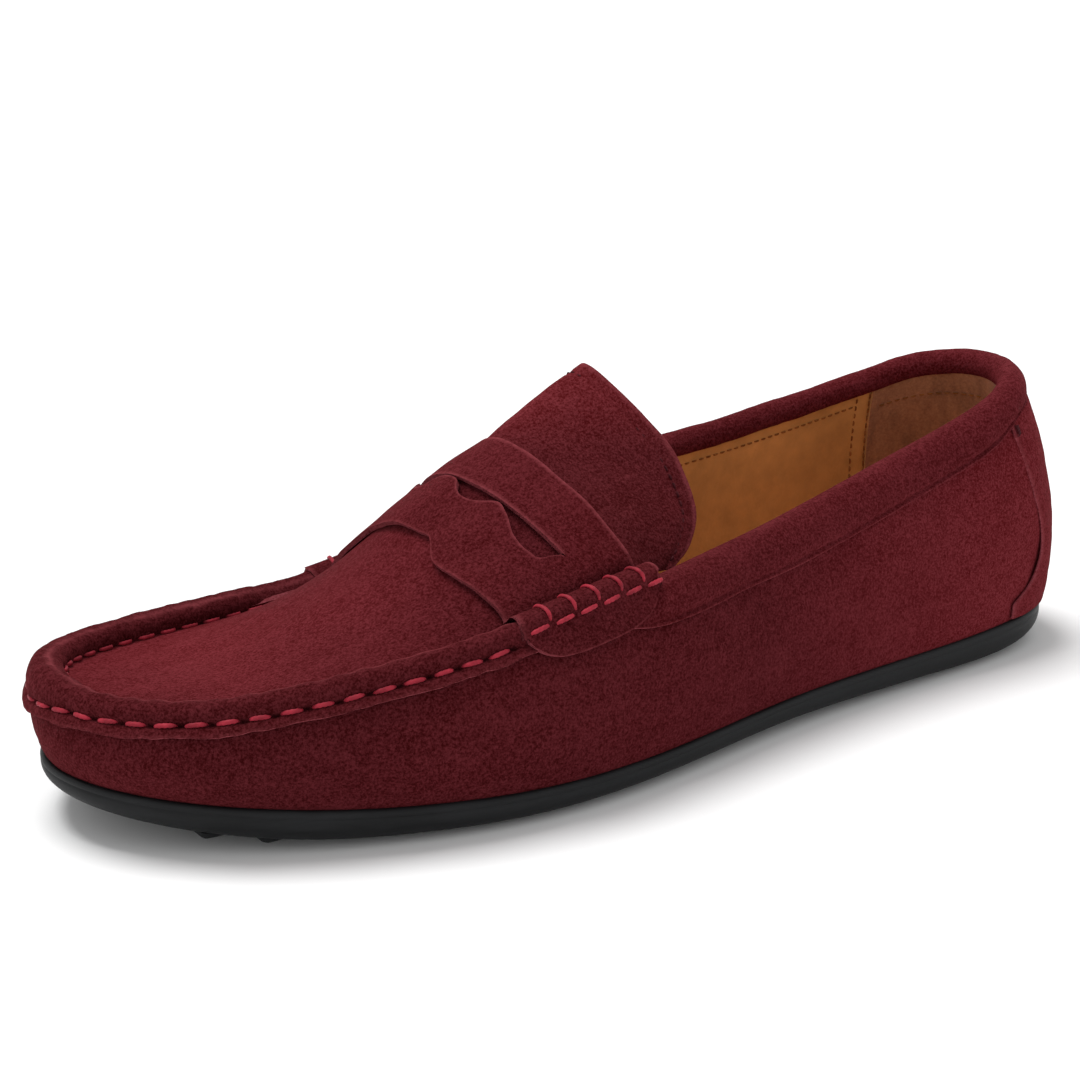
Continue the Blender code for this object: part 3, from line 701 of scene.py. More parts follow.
red_suede = suede("suede_body", (0.0592, 0.0055, 0.0071))
apron_suede = suede("suede_apron", (0.0577, 0.0053, 0.0069))
tongue_suede = suede("suede_tongue", (0.06, 0.0062, 0.0077))
raw_edge = suede("suede_cut_edge", (0.095, 0.0145, 0.018), edge=True)
lining_leather = smooth_leather("lining_tan", (0.55, 0.25, 0.078), 0.42, 0.14)
sock_leather = smooth_leather("sock_tan", (0.58, 0.28, 0.095), 0.45, 0.15)
lining_edge = smooth_leather("lining_cut_edge", (0.5, 0.25, 0.1), 0.7, 0.15)
grip_leather = brushed_leather("heel_grip_brown", (0.29, 0.118, 0.056))
RED = [red_suede, raw_edge]
TAN = [lining_leather, lining_edge]
red_thread = waxed_thread("thread_raspberry", (0.28, 0.0185, 0.032))
dark_thread = waxed_thread("thread_burgundy", (0.05, 0.006, 0.0085), 0.8)
tan_thread = waxed_thread("thread_brown", (0.27, 0.095, 0.026), 0.6)
rubber = moulded_rubber("sole_black", (0.0105, 0.0108, 0.0115))
board = pressed_board("board_grey", (0.42, 0.31, 0.2))
foam = open_foam("foam_cream", (0.75, 0.72, 0.62))


# --- Sole and floor of the shoe


def floor(reach, w, inset, rise):
    """A surface over the sole: reach from toe to heel, w from the outer side to the inner."""
    outer, inner = foot(TOE - reach, inset, rise)[:, None], foot(TOE + reach, inset, rise)[:, None]
    surface = outer + (inner - outer) * ((w + 1) / 2)[:, None]
    surface[..., 2] = feather_height(surface[..., 0]) + rise
    return surface


def fine_reach(spacing):
    """Distances from the toe, closer together at its two ends, where the outline turns."""
    bend = np.linspace(0, math.pi, round(300 / spacing))
    return TOE * (0.5 - 0.5 * np.cos(bend)) * 0.6 + TOE * bend / math.pi * 0.4


def sole_profile(u):
    """The rounded edge of the sole at stations u, from its top inner lip to its underside."""
    section = smooth_line(SOLE_EDGE)(np.linspace(0, 1, 30))
    inset, share = section.T
    point = foot(u[:, None], inset, -0.45)
    point[..., 2] += (underside(point[..., 0]) - point[..., 2]) * share
    return point


def stud_rings(reach_at):
    """Low tread blocks with rounded corners under the ball and the heel: four rings each, ground up."""
    angle = np.linspace(0, 2 * math.pi, 24, endpoint=False)
    along, across = (np.sign(wave) * np.abs(wave) ** STUD_CORNER for wave in (np.cos(angle), np.sin(angle)))
    outline = feather_plan(np.linspace(0, 2 * TOE, 720, endpoint=False))
    rings = []
    for row, x in enumerate(np.arange(STUD_FRONT, STUD_BACK, STUD_PITCH[0])):
        if ARCH[0] < x < ARCH[1]:
            continue
        tread, reach = float(underside(x)), reach_at(x)
        low = max(0.0, tread - STUD_HEIGHT + 0.75 * float(smooth_step((-x - 80) / 20)))
        for y in (np.arange(-6, 6) + 0.5 * (row % 2)) * STUD_PITCH[1]:
            clear = np.hypot(outline[:, 0] - x, outline[:, 1] - y).min()
            if clear <= STUD_INSET or not feather_plan(TOE - reach)[1] < y < feather_plan(TOE + reach)[1]:
                continue
            for scale, z in ((0.9, low), (0.97, low + 0.1), (1.0, low + 0.3), (1.03, tread + 1.0)):
                size = STUD_HALF[0] * scale, STUD_HALF[1] * scale
                rings.append(np.stack([x + size[0] * along, y + size[1] * across, 0 * angle + z], axis=1))
    return np.array(rings).reshape(-1, 4, len(angle), 3)


def make_outsole():
    reach = fine_reach(1.6)
    w = np.linspace(-1, 1, 41)
    top = floor(reach, w, -0.1, -0.5)
    tread = floor(reach, w, 4.2, 0)
    tread[..., 2] = underside(tread[..., 0])
    left, right = sole_profile(TOE - reach), sole_profile(TOE + reach)[:, ::-1]
    bottom = np.concatenate([left, tread[:, 1:-1], right], axis=1)
    top = np.concatenate([bottom[:, :1], top[:, 1:-1], bottom[:, -1:]], axis=1)
    under, over = (np.arange(grid.size // 3).reshape(grid.shape[:2]) for grid in (bottom, top))
    vertices = np.concatenate([bottom.reshape(-1, 3), top.reshape(-1, 3)])
    faces = [*quads(under).tolist(), *quads(over + under.size)[:, ::-1].tolist()]
    new_piece("outsole_rubber", vertices, faces, [rubber], BODY, ["outsole"], sharp=60)
    middle = feather_plan(TOE - reach)[:, 0]
    rings = stud_rings(lambda x: float(np.interp(x, middle, reach)))
    faces = tube_faces(*rings.shape[:3])
    new_piece("outsole_studs", rings.reshape(-1, 3), faces, [rubber], BODY)


def make_sock():
    """The sock liner, dished a little by the foot, and the foam under it."""
    reach = fine_reach(2.2)
    w = np.linspace(-1, 1, 41)
    top = floor(reach, w, 4.5, SOCK_RISE)
    bottom = floor(reach, w, 4.5, SOCK_RISE - 0.7)
    dish = (1 - w**2)[None] * 0.25 * smooth_step((reach - 0.3) / 1.5)[:, None]
    uneven = 0.12 * waves(top, 30, 3) + 0.05 * waves(top, 11, 4)
    top[..., 2] += uneven - dish
    looks = [sock_leather, lining_edge]
    shell("sock_liner_tan", top, bottom, looks, BODY, "lining_leather", ["sock_liner"], folded=(True, True))
    reach = fine_reach(4)
    w = np.linspace(-1, 1, 13)
    top, bottom = floor(reach, w, 4.8, SOCK_RISE - 1.0), floor(reach, w, 4.8, SOCK_RISE - 2.35)
    piece = shell("sock_foam_pad", top, bottom, [foam], BODY, "foam", ["sock_foam"], folded=(True, True))


# --- Upper


def seam_length(u):
    """Distance along the stitched seam, which puckers and stitches share, and the station at a distance."""
    fine = np.linspace(4.0, 14.0, 1600)
    length = distance(seam(fine, STITCH_DROP, -1.2))
    return np.interp(u, fine, length), lambda value: np.interp(value, length, fine)


def make_wall():
    """The one-piece moccasin side, whose top edge hides in the seam in front and under the collar behind."""
    u = np.concatenate([rim_stations(0.0, 9.0, 1.5), rim_stations(9.0, 18.0, 1.5)[1:]])
    front = smooth_step((u - 4.95) / 0.12) * smooth_step((13.05 - u) / 0.12)
    top = 3.4 - (4.6 + seam_lift(u)) * front
    rows = np.linspace(0, 1, 40)
    faces = []
    for depth, above_sole, corner, rise in ((0.0, 0.5, 0.35, -0.3), (SUEDE, 1.6, 1.9, SUEDE - 0.3)):
        drop = top[:, None] + (wall_length(u) - above_sole - top)[:, None] * rows
        base = at(u[:, None], drop, depth)
        swell = 0.22 * waves(base, 34, 11) + 0.1 * waves(base, 12, 12) + 0.05 * waves(base, 5, 13)
        fade = smooth_step((drop - 3) / 6) * smooth_step((wall_length(u)[:, None] - drop) / 5)
        side = at(u[:, None], drop, depth - swell * fade)
        tucked = np.stack([foot(u, corner, rise), foot(u, 3.0, rise), foot(u, 9.0, rise)], axis=1)
        faces.append(np.concatenate([side, tucked], axis=1))
    # painted light: lighter towards the heel, with random patches of pile
    marks = {"nap_and_painted_light": pile_patches_and_painted_light(faces[0], 0.95)}
    shell("vamp_wrap_suede", *faces, RED, BODY, "suede", ["vamp_wrap"], marks=marks)


def make_apron():
    reach = spread(0.0, 3.95, 1.3, lambda r: (apron_point(r, np.zeros_like(r)) + seam(TOE - r, 0, 0)) / 2)
    w = np.sin(np.linspace(-1.3, 1.3, 80)) / math.sin(1.3) * 0.985
    faces = []
    for corner, tip, lift in (((-1.4, 4.2), (-2.6, 3.9), 0.0), ((-0.3, 2.9), (-2.6, 2.7), -SUEDE)):
        drop, depth = np.array([tip, corner]).T
        left = seam(TOE - reach[:, None], drop, depth)
        right = seam(TOE + reach[:, None], drop[::-1], depth[::-1])
        base = apron(reach[:, None], w)
        fade = (1 - w[None] ** 8) * smooth_step(reach / 0.8)[:, None]
        swell = (0.16 * waves(base, 30, 21) + 0.06 * waves(base, 10, 22)) * fade
        faces.append(np.concatenate([left, apron(reach[:, None], w, lift + swell), right], axis=1))
    # painted highlight: lighter towards the inner side and towards the toe
    painted_highlight = 0.3 + 0.5 * smooth_step((w[None] + 1) / 0.9)
    painted_highlight = painted_highlight * (1 - 0.5 * smooth_step((reach[:, None] - 2) / 1.3))
    # painted shade under the strap: the lightening stops where the strap covers the apron
    outside_painted_strap_shade = 1 - smooth_step((reach[:, None] - 3.3) / 0.15)
    nap_and_painted_light = np.clip((painted_highlight + 0.12 * np.tanh(waves(faces[0][:, 2:-2], 45, 23))) * outside_painted_strap_shade, 0, 1)
    shell("apron_suede", *faces, [apron_suede, raw_edge], BODY, "suede", ["apron"], folded=(True, False),
          marks={"nap_and_painted_light": np.pad(nap_and_painted_light, ((0, 0), (2, 2)), "edge")})


def toe_turn(u):
    """How much of the fuller ridge round the tip of the toe there is at a station."""
    return hill(np.asarray(u), 9.15, 0.42)


def make_seam_roll():
    """The puffy ridge over the stitched edges, drawn in at each stitch, whose raw edge hangs below them."""
    u = spread(SEAM_START, SEAM_END, 0.75, lambda v: seam(v, 0.0, -1.0))
    share = np.linspace(0, 1, len(ROLL_OVER) * 3 + 1)
    over, under = smooth_line(ROLL_OVER)(share), smooth_line(ROLL_UNDER)(share)
    length, _ = seam_length(u)
    pull = np.cos(2 * math.pi * length / STITCH_PITCH)[:, None]
    near_stitch = hill(over[:, 0], STITCH_DROP, 0.9) * (share < 0.45)
    near_inner = hill(over[:, 0], -2.2, 1.2) * (share > 0.6)
    edge = seam(u, FLAP, -1.7)
    ragged = 0.08 * waves(edge, 3.2, 31) + 0.12 * waves(edge, 11, 32)
    # needle holes, and painted shade in the groove between stitches, which the same mask also deepens
    needle_hole_and_painted_shade = smooth_step((pull - 0.45) / 0.5) * hill(share, STITCH_SHARE, 0.035)
    turn = toe_turn(u)[:, None]
    low = 1 - 0.48 * smooth_step((u - 11.5) / 0.5)[:, None]
    grids = []
    for k, section in enumerate((over, under)):
        drop = np.broadcast_to(section[:, 0], (len(u), len(share))).copy()
        depth = np.broadcast_to(section[:, 1], (len(u), len(share))).copy()
        hang = np.clip((drop - 1.8) / (FLAP - 1.8), 0, 1) * (share < 0.3)
        drop += hang * ragged[:, None] + TOE_HANG * turn * smooth_step((0.46 - share) / 0.2)
        depth -= TOE_SWELL * turn * hill(share, 0.42, 0.22)
        depth -= hang * 0.35 * smooth_step((waves(edge, 24, 33) + 1) / 2)[:, None]
        drop = np.where(drop < 0, drop * low, drop)
        if k == 0:
            depth += (0.15 + 0.35 * pull) * near_stitch - 0.2 * pull * near_inner + 0.35 * needle_hole_and_painted_shade
            drop -= 0.12 * pull * hill(section[:, 0], -4, 1.2)
        base = seam(u[:, None], drop, depth)
        grids.append(base + (0.049 * waves(base, 6, 34) + 0.035 * waves(base, 2.6, 35))[..., None] * (k == 0))
    # a painted highlight along the ridge's top inner edge, where it catches the light, and a paler raw edge
    # at the flap's foot
    wear_and_painted_highlight = 0.8 * hill(share, 0.575, 0.03) + 0.3 * hill(share, 0.03, 0.03)
    wear_and_painted_highlight = wear_and_painted_highlight * (0.7 + 0.3 * np.tanh(waves(grids[0][:, 20], 14, 36)))[:, None]
    shell("seam_roll_suede", *grids, RED, BODY, "suede", ["seam_roll"], round_edge=EDGE_ROUND,
          marks={"wear_and_painted_highlight": wear_and_painted_highlight, "needle_hole_and_painted_shade": 0.85 * needle_hole_and_painted_shade})


def make_seam_stitches():
    """Running stitches of waxed thread at the ridge's outer foot and, half a pitch on, in its crease."""
    lengths, station = seam_length(np.array([5.86, 12.14]))
    centre = np.arange(lengths[0] + 1, lengths[1], STITCH_PITCH)
    centre = centre - centre[0] + math.ceil(centre[0] / STITCH_PITCH) * STITCH_PITCH + STITCH_PITCH / 2
    random = np.random.default_rng(41)
    length = STITCH_LENGTH * random.uniform(0.88, 1.08, len(centre))
    tilt = random.uniform(-0.16, 0.16, len(centre))
    share = np.linspace(-1, 1, 13)
    bow = 1 - 1.9 * np.abs(share) ** 4
    paths, ups = [], []
    for middle, long, slant in zip(centre, length, tilt):
        u = station(middle + long / 2 * share)
        drop = STITCH_DROP + TOE_HANG * toe_turn(u) + slant * share
        paths.append(seam(u, drop, -0.95 - 0.55 * bow))
        ups.append(seam(u, drop, -3) - seam(u, drop, -1))
    thread_pieces("apron_stitches_outer", paths, ups, THREAD, red_thread, BODY, ["apron_thread"])
    paths, ups = [], []
    for middle, long in zip(centre + STITCH_PITCH / 2, length):
        u = station(middle + long / 2 * share)
        if u[-1] > 12.15:
            continue
        base = seam(u, -2.1, 4.4)
        up = unit(seam(u, -2.9, 5.5) - base)
        paths.append(base + up * 0.5 * bow[:, None])
        ups.append(up)
    thread_pieces("apron_stitches_inner", paths, ups, THREAD, red_thread, BODY)


# --- Collar, heel and linings


def make_collar():
    u = rim_stations(-COLLAR_END, COLLAR_END, 1.1)
    rise = collar_rise(u % (2 * TOE))[:, None]
    share = np.linspace(0, 1, COLLAR_POINTS)
    flat = smooth_step((np.abs(u) - 4.93) / 0.1)[:, None]
    stretch = (collar_seam(np.abs(u)) / COLLAR_LEG)[:, None]
    grids = []
    for k, section in enumerate((COLLAR_OVER, COLLAR_UNDER)):
        leg_drop, depth, extra = smooth_line(section)(share).T
        drop = leg_drop * np.where((leg_drop > 0) & (share < 0.5), stretch, 1.0) - extra * rise
        depth = depth + flat * np.maximum(-1.25 - depth, 0)
        base = at(u[:, None], drop, depth)
        stitched = hill(leg_drop, COLLAR_LEG - 1.2, 0.9) * (share < 0.25)
        puff = 0.14 * waves(base, 22, 51) + 0.06 * waves(base, 8, 52) + 0.04 * waves(base, 3.5, 53)
        grids.append(at(u[:, None], drop, depth - puff * (1 - stitched) * (1 - flat) * (k == 0)))
    # paler along the lower edge and, more faintly, over the top of the roll
    wear_and_painted_highlight = 0.7 * hill(share, 0, 0.025) + 0.16 * hill(share, 0.6, 0.08)
    wear_and_painted_highlight = wear_and_painted_highlight * (0.75 + 0.25 * np.tanh(waves(grids[0][:, COLLAR_POINTS // 2], 16, 54)))[:, None]
    # painted light: lighter towards the heel, with random patches of pile
    piece = shell("collar_band_suede", *grids, RED, BODY, "suede", ["collar_band"], round_edge=EDGE_ROUND,
                  marks={"wear_and_painted_highlight": wear_and_painted_highlight, "nap_and_painted_light": 0.1 + pile_patches_and_painted_light(grids[0], 0.26)})


def make_collar_foam():
    drop, depth = smooth_line(COLLAR_FOAM)(np.linspace(0, 1, 25)).T
    ring = at(rim_stations(0.5 - COLLAR_END, COLLAR_END - 0.5, 3.0)[:, None], drop, depth)
    faces = tube_faces(1, *ring.shape[:2])
    piece = new_piece("collar_foam_pad", ring.reshape(-1, 3), faces, [foam], BODY, ["collar_foam"])


def make_heel_panel():
    """The panel sewn over the heel, whose top is caught under the collar's seam."""
    rows = np.linspace(0, 1, 60)[:, None]
    across = np.linspace(-1, 1, 81)
    start = collar_seam(0.0) - 0.6
    half = panel_half(start + (wall_length(0.0) - 0.6 - start) * rows)
    u = half * across
    start, length = collar_seam(np.abs(u)) - 0.6, wall_length(u)
    drop = start + (length - 0.6 - start) * rows
    base = at(u, drop, 0.0)
    swell = 0.18 * waves(base, 30, 11) + 0.08 * waves(base, 11, 62) + 0.04 * waves(base, 4, 63)
    outer, inner = at(u, drop, -1.35 - swell * 0.6 + 0.3 * np.abs(across) ** 16), at(u, drop, -0.25)
    wear_and_painted_highlight = 0.75 * np.clip((np.abs(across) - 0.97) / 0.03, 0, 1)
    # painted light: lighter towards the heel, with random patches of pile
    shell("heel_panel_suede", outer, inner, RED, BODY, "suede", ["heel_panel"], round_edge=EDGE_ROUND,
          marks={"wear_and_painted_highlight": wear_and_painted_highlight, "nap_and_painted_light": pile_patches_and_painted_light(outer, 0.9)})


def make_panel_tacks():
    """The small zigzag of thread that ties each top corner of the heel panel to the collar's seam."""
    share = np.linspace(0, 1, 41)
    paths, ups = [], []
    for side in (-1, 1):
        u = side * (1.66 + 0.022 * np.sin(9 * math.pi * share))
        drop = collar_seam(1.66) + 0.3 + 2.8 * share
        paths.append(at(u, drop, -1.75 + 0.35 * np.abs(2 * share - 1) ** 8))
        ups.append(at(u, drop, -2.0) - at(u, drop, -1.0))
    thread_pieces("heel_panel_tacks", paths, ups, 0.22, dark_thread, BODY, plies=6)


def make_linings():
    for side, name in ((1, "lateral"), (-1, "medial")):
        u = side * rim_stations(0.0, 4.85, 2.0)
        drop = 1.4 + (wall_length(u) - 3.2)[:, None] * np.linspace(0, 1, 36)
        base = at(u[:, None], drop, LINING_DEPTH + 0.8)
        swell = 0.045 * waves(base, 26, 71) + 0.0225 * waves(base, 9, 72)
        welt = 0.75 * np.exp(-(((np.abs(u) - LINING_SEAM) / 0.045) ** 4))[:, None]
        face = at(u[:, None], drop, LINING_DEPTH + 0.8 + swell + welt)
        back = at(u[:, None], drop, LINING_DEPTH)
        node = f"quarter_lining_{name}"
        shell(f"{node}_tan", face, back, TAN, BODY, "lining_leather", [node])


def make_vamp_lining():
    """The lining of the forefoot: up the outer wall, across under the apron and down the inner wall."""
    reach = np.linspace(0, 3.9, 90)
    w = np.sin(np.linspace(-1.25, 1.25, 41))
    grids = []
    for depth, top, lift in ((LINING_DEPTH + 0.2, 4.4, 0), (LINING_DEPTH + 1.0, 5.6, 0.8)):
        walls = []
        for u, rows in ((TOE - reach, np.linspace(1, 0, 14)), (TOE + reach, np.linspace(0, 1, 14))):
            walls.append(at(u[:, None], top + (wall_length(u)[:, None] - 1.8 - top) * rows, depth))
        under_apron = apron(reach[:, None], w, -SUEDE - GAP - 0.3 - lift)
        grids.append(np.concatenate([walls[0], under_apron, walls[1]], axis=1))
    shell("vamp_lining_tan", *grids, TAN, BODY, "lining_leather", ["vamp_lining"], folded=(True, False))


def make_heel_grip():
    u = rim_stations(-1.82, 1.82, 1.6)
    drop = 2.2 + (43.0 - 2.2 * u**2)[:, None] * np.linspace(0, 1, 40)
    base = at(u[:, None], drop, GRIP_DEPTH)
    swell = 0.12 * waves(base, 20, 81) + 0.06 * waves(base, 7, 82)
    face, back = at(u[:, None], drop, GRIP_DEPTH + 0.7 + swell), at(u[:, None], drop, GRIP_DEPTH - 0.15)
    looks = [grip_leather, lining_edge]
    shell("heel_grip_brown", face, back, looks, BODY, "grip_leather", ["heel_grip"], round_edge=0.2)


def row_of_stitches(start, end, curve):
    """The first and last values of the dashes of a row of fine stitches along a curve."""
    fine = np.linspace(start, end, 2000)
    length = distance(curve(fine))
    first = np.arange(FINE_PITCH / 2, length[-1] - FINE_DASH, FINE_PITCH)
    return np.interp(first, length, fine), np.interp(first + FINE_DASH, length, fine)


def make_lining_stitches():
    """Fine stitching inside the shoe: under the rim, along the back seams and round the heel grip."""
    paths, ups = [], []

    def sew(start, end, place):
        path, up = arched(*row_of_stitches(start, end, lambda v: place(v, 0.0)), place, 0.24)
        paths.extend(path)
        ups.extend(up)

    for side in (1, -1):
        sew(side * 1.98, side * 4.85, lambda u, h: at(u, 6.6, LINING_DEPTH + 0.8 + h))
        for offset in (-0.075, 0.085):
            beside = side * (LINING_SEAM + offset)
            sew(3.2, 46.0, lambda drop, h, beside=beside: at(beside, drop, LINING_DEPTH + 0.85 + h))
    sew(-1.75, 1.75, lambda u, h: at(u, 9.4 - 0.5 * np.abs(u), GRIP_DEPTH + 0.7 + h))
    thread_pieces("lining_stitches", paths, ups, FINE_THREAD, tan_thread, BODY, plies=1.5, around=8)


# --- Strap and tongue


def strap_edges(w):
    """Reach of the strap's front edge, of its slot's front and rear edges, and of its rear edge."""
    wobble = 0.003 * np.sin(17 * w + 1) + 0.0012 * np.sin(43 * w)
    front = STRAP_FRONT + STRAP_NOTCH * smooth_step((np.where(w < 0, 0.43, 0.62) - np.abs(w)) / 0.2) + wobble
    inner = np.clip((np.abs(w) - 0.86) / 0.14, 0, 1) ** 2
    front = front + (TAB_FRONT - front) * inner
    rear = STRAP_REAR + (TAB_REAR - STRAP_REAR) * inner + 0.4 * wobble
    slot_rear = SLOT_REAR + 0.6 * wobble
    return front, slot_rear - slot_opening(np.abs(w)), slot_rear, rear


def tab_edge(f):
    """How far the tab hangs below the rim: its lower edge is a round lobe, set back from both ends."""
    lobe = np.sqrt(np.clip(1 - np.abs(2 * f - 1) ** 3.2, 0, 1))
    return -3.0 + (TAB_DROP + 3.0) * lobe


def strap_rows():
    """Shares of the strap's width for its rows: the front band's, then the rear band's."""
    split = (SLOT_REAR - TAB_FRONT) / (TAB_REAR - TAB_FRONT)
    front, rear = np.linspace(0, 1, 22), np.linspace(0, 1, 14)
    return front, rear, np.concatenate([front * (split - 0.004), split + (1 - split) * rear])


def strap_surface(lift, grow):
    """A face of the strap: rows across its width, columns from the outer tab's edge to the inner one's."""
    w = np.concatenate([np.linspace(-0.95, -SLOT_END, 9)[:-1], np.linspace(-SLOT_END, SLOT_END, 131),
                        np.linspace(SLOT_END, 0.95, 9)[1:]])
    front_rows, rear_rows, share = strap_rows()
    front, slot_front, slot_rear, rear = strap_edges(w)
    reach = np.concatenate([front + (slot_front - front) * front_rows[:, None],
                            slot_rear + (rear - slot_rear) * rear_rows[:, None]])
    base = apron(reach, w)
    near_slot = hill(reach, SLOT_REAR - 0.06, 0.05) * (np.abs(w) < SLOT_END)
    crest = apron(reach, w, lift + 0.15 * waves(base, 16, 91) + 0.35 * near_slot)
    sides = []
    profile = smooth_line(TAB_PROFILE)(np.linspace(0, 1, 30))
    f = share[:, None]
    start = tab_edge(f)
    hang = np.linspace(0, 1, 16)[:-1]
    for side in (-1, 1):
        low_drop = start + (TAB_PROFILE[0][0] - start) * hang
        low_depth = TAB_PROFILE[0][1] + 0 * low_drop
        drop = np.concatenate([low_drop, np.minimum(profile[:, 0], start)], axis=1)
        depth = np.concatenate([low_depth, profile[:, 1] + 0 * start], axis=1) + grow
        tab_reach = TAB_FRONT + (TAB_REAR - TAB_FRONT) * f
        drop = np.where(drop < 0, drop * TAB_HEIGHT[side], drop)
        grid = seam(TOE + side * tab_reach, drop, depth)
        sides.append(grid if side < 0 else grid[:, ::-1])
    whole = np.concatenate([sides[0], crest, sides[1]], axis=1)
    first, last = sides[0].shape[1], whole.shape[1] - sides[1].shape[1]
    for _ in range(5):  # smooths the two joints of the tabs with the band over the instep
        for start, stop in ((first - 7, first + 6), (last - 6, last + 7)):
            beside = whole[:, start - 1 : stop - 1] + whole[:, start + 1 : stop + 1]
            whole[:, start:stop] = 0.5 * whole[:, start:stop] + 0.25 * beside
    return whole, sides[0].shape[1], w


def make_strap():
    outer, tab_columns, w = strap_surface(STRAP_LIFT + SUEDE, 0.0)
    inner, _, _ = strap_surface(STRAP_LIFT, SUEDE)
    keep = np.ones((outer.shape[0] - 1, outer.shape[1] - 1), bool)
    middle = (w[:-1] + w[1:]) / 2
    slot_row = len(strap_rows()[0]) - 1
    keep[slot_row, tab_columns : tab_columns + len(middle)] = np.abs(middle) > SLOT_END
    wear_and_painted_highlight = np.zeros(outer.shape[:2])
    wear_and_painted_highlight[-1], wear_and_painted_highlight[0] = 0.9, 0.5
    wear_and_painted_highlight[slot_row : slot_row + 2, tab_columns : tab_columns + len(w)] = 0.7 * (np.abs(w) <= SLOT_END)
    wear_and_painted_highlight[:, 0] = wear_and_painted_highlight[:, -1] = 0.5
    # painted light: lighter over the top of the instep than on the tabs, with random patches of pile
    painted_light_over_instep = np.zeros(outer.shape[1])
    painted_light_over_instep[tab_columns : tab_columns + len(w)] = 1 - w**4
    nap_and_painted_light = 0.02 + 0.3 * painted_light_over_instep + 0.08 * np.tanh(waves(outer, 40, 92))
    shell("penny_strap_suede", outer, inner, RED, BODY, "suede", ["penny_strap"], keep, round_edge=0.25,
          marks={"wear_and_painted_highlight": wear_and_painted_highlight, "nap_and_painted_light": np.clip(nap_and_painted_light, 0, 1)})


def make_strap_stitches():
    """Whip stitches over each tab's ridge, and the running stitches under them."""
    profile = smooth_line(TAB_PROFILE)
    share = np.linspace(0, 1, 17)
    stand = (0.3 - 0.9 * np.abs(2 * share - 1) ** 5)[:, None]
    for side, name in ((-1, "strap_thread_lateral"), (1, "strap_thread_medial")):
        bases, ups = [], []
        for k in range(WHIP_STITCHES):
            u = TOE + side * (TAB_FRONT + 0.15 + 0.155 * k + 0.03 * (0.5 - share))
            drop, depth = profile(0.17 + 0.55 * share).T
            bases.append(seam(u, np.where(drop < 0, drop * TAB_HEIGHT[side], drop), depth))
            ups.append(unit(bases[-1] - seam(u, -2.2, 1.2)))
        for k in range(WHIP_STITCHES + 1):
            u = TOE + side * (TAB_FRONT + 0.04 + 0.152 * k + 0.115 * share)
            drop = -0.35 - 0.35 * share
            bases.append(seam(u, drop, -2.9))
            ups.append(unit(seam(u, drop, -4) - bases[-1]))
        paths = [base + up * stand for base, up in zip(bases, ups)]
        thread_pieces(f"{name}_whip", paths, ups, THREAD, red_thread, BODY, [name])


tongue_root = smooth_line(apron(TONGUE_START - 0.28, np.sin(np.linspace(-1.2, 1.2, 33)), -GAP - 0.3))


def tongue_point(s, f):
    """The tongue's outer face: s runs from its root to its free edge, f from the outer side to the inner."""
    s = s * (1 - 0.27 * smooth_step((f - 0.7) / 0.3))  # its inner corner is rounded off
    root, end = tongue_root(f), tongue_end(f)
    line = root + (end - root) * s[..., None]
    line[..., 2] += 4 * s * (1 - s) * np.clip(1 - np.abs(2 * f - 1) ** 3, 0, 1)
    return line


def tongue_face(s, f, depth):
    s, f = np.broadcast_arrays(s, f)
    middle = np.clip(f, 0.02, 0.98)
    across = tongue_point(s, middle + 0.02) - tongue_point(s, middle - 0.02)
    along = tongue_point(s + 0.02, middle) - tongue_point(s - 0.02, middle)
    return tongue_point(s, f) - unit(np.cross(along, across)) * np.asarray(depth, float)[..., None]


def make_tongue():
    """The tongue, its lining and the row of stitches near its free edge."""
    f = np.linspace(0, 1, 110)
    s = np.linspace(0, 1, 56)[:, None]
    base = tongue_face(s, f, 0.0)
    swell = (0.22 * waves(base, 24, 101) + 0.08 * waves(base, 9, 102)) * smooth_step(s / 0.4)
    outer = tongue_face(s, f, 0.3 * hill(s, TONGUE_STITCH, 0.02) - swell)
    wear_and_painted_highlight = np.zeros(outer.shape[:2])
    wear_and_painted_highlight[-2:] = 0.5
    # painted light: the tongue is lighter towards its top
    marks = {"wear_and_painted_highlight": wear_and_painted_highlight, "nap_and_painted_light": 0.15 + 0.75 * smooth_step((outer[..., 2] - 62) / 16)}
    piece = shell("tongue_suede", outer, tongue_face(s, f, SUEDE), [tongue_suede, raw_edge], None, "suede",
                  ["tongue"], marks=marks, round_edge=EDGE_ROUND)
    f, s = np.linspace(0.015, 0.985, 90), np.linspace(0.02, 0.992, 40)[:, None]
    top, low = tongue_face(s, f, SUEDE + 0.15), tongue_face(s, f, SUEDE + 0.95)
    lining = shell("tongue_lining_tan", top, low, TAN, None, "lining_leather", ["tongue_lining"],
                   round_edge=0.25)
    dashes = row_of_stitches(0.03, 0.97, lambda v: tongue_point(TONGUE_STITCH + 0 * v, v))
    paths, ups = arched(*dashes, lambda v, h: tongue_face(TONGUE_STITCH, v, 0.3 - h), 0.2)
    sewn = thread_pieces("tongue_stitches", paths, ups, FINE_THREAD, dark_thread, None, plies=1.5, around=8)
    return piece, lining, sewn


# --- Studio

FLOOR_RADIUS = 60.0
SKY_STRENGTH = 0.64
HORIZON_STRENGTH = 1.05
HORIZON = (0.26, 0.42)  # the sky darkens between these heights
KEY_STRENGTH = 2.4
KEY_ANGLE = math.radians(26)
KEY_DIRECTION = Vector((-0.14, 0.26, 0.95))
CAMERA_PLACE = Vector((-0.2672, -0.36555, 0.1684))
CAMERA_TARGET = Vector((-0.00641, 0.02056, 0.03812))
CAMERA_LENS, CAMERA_SENSOR = 66.11, 36


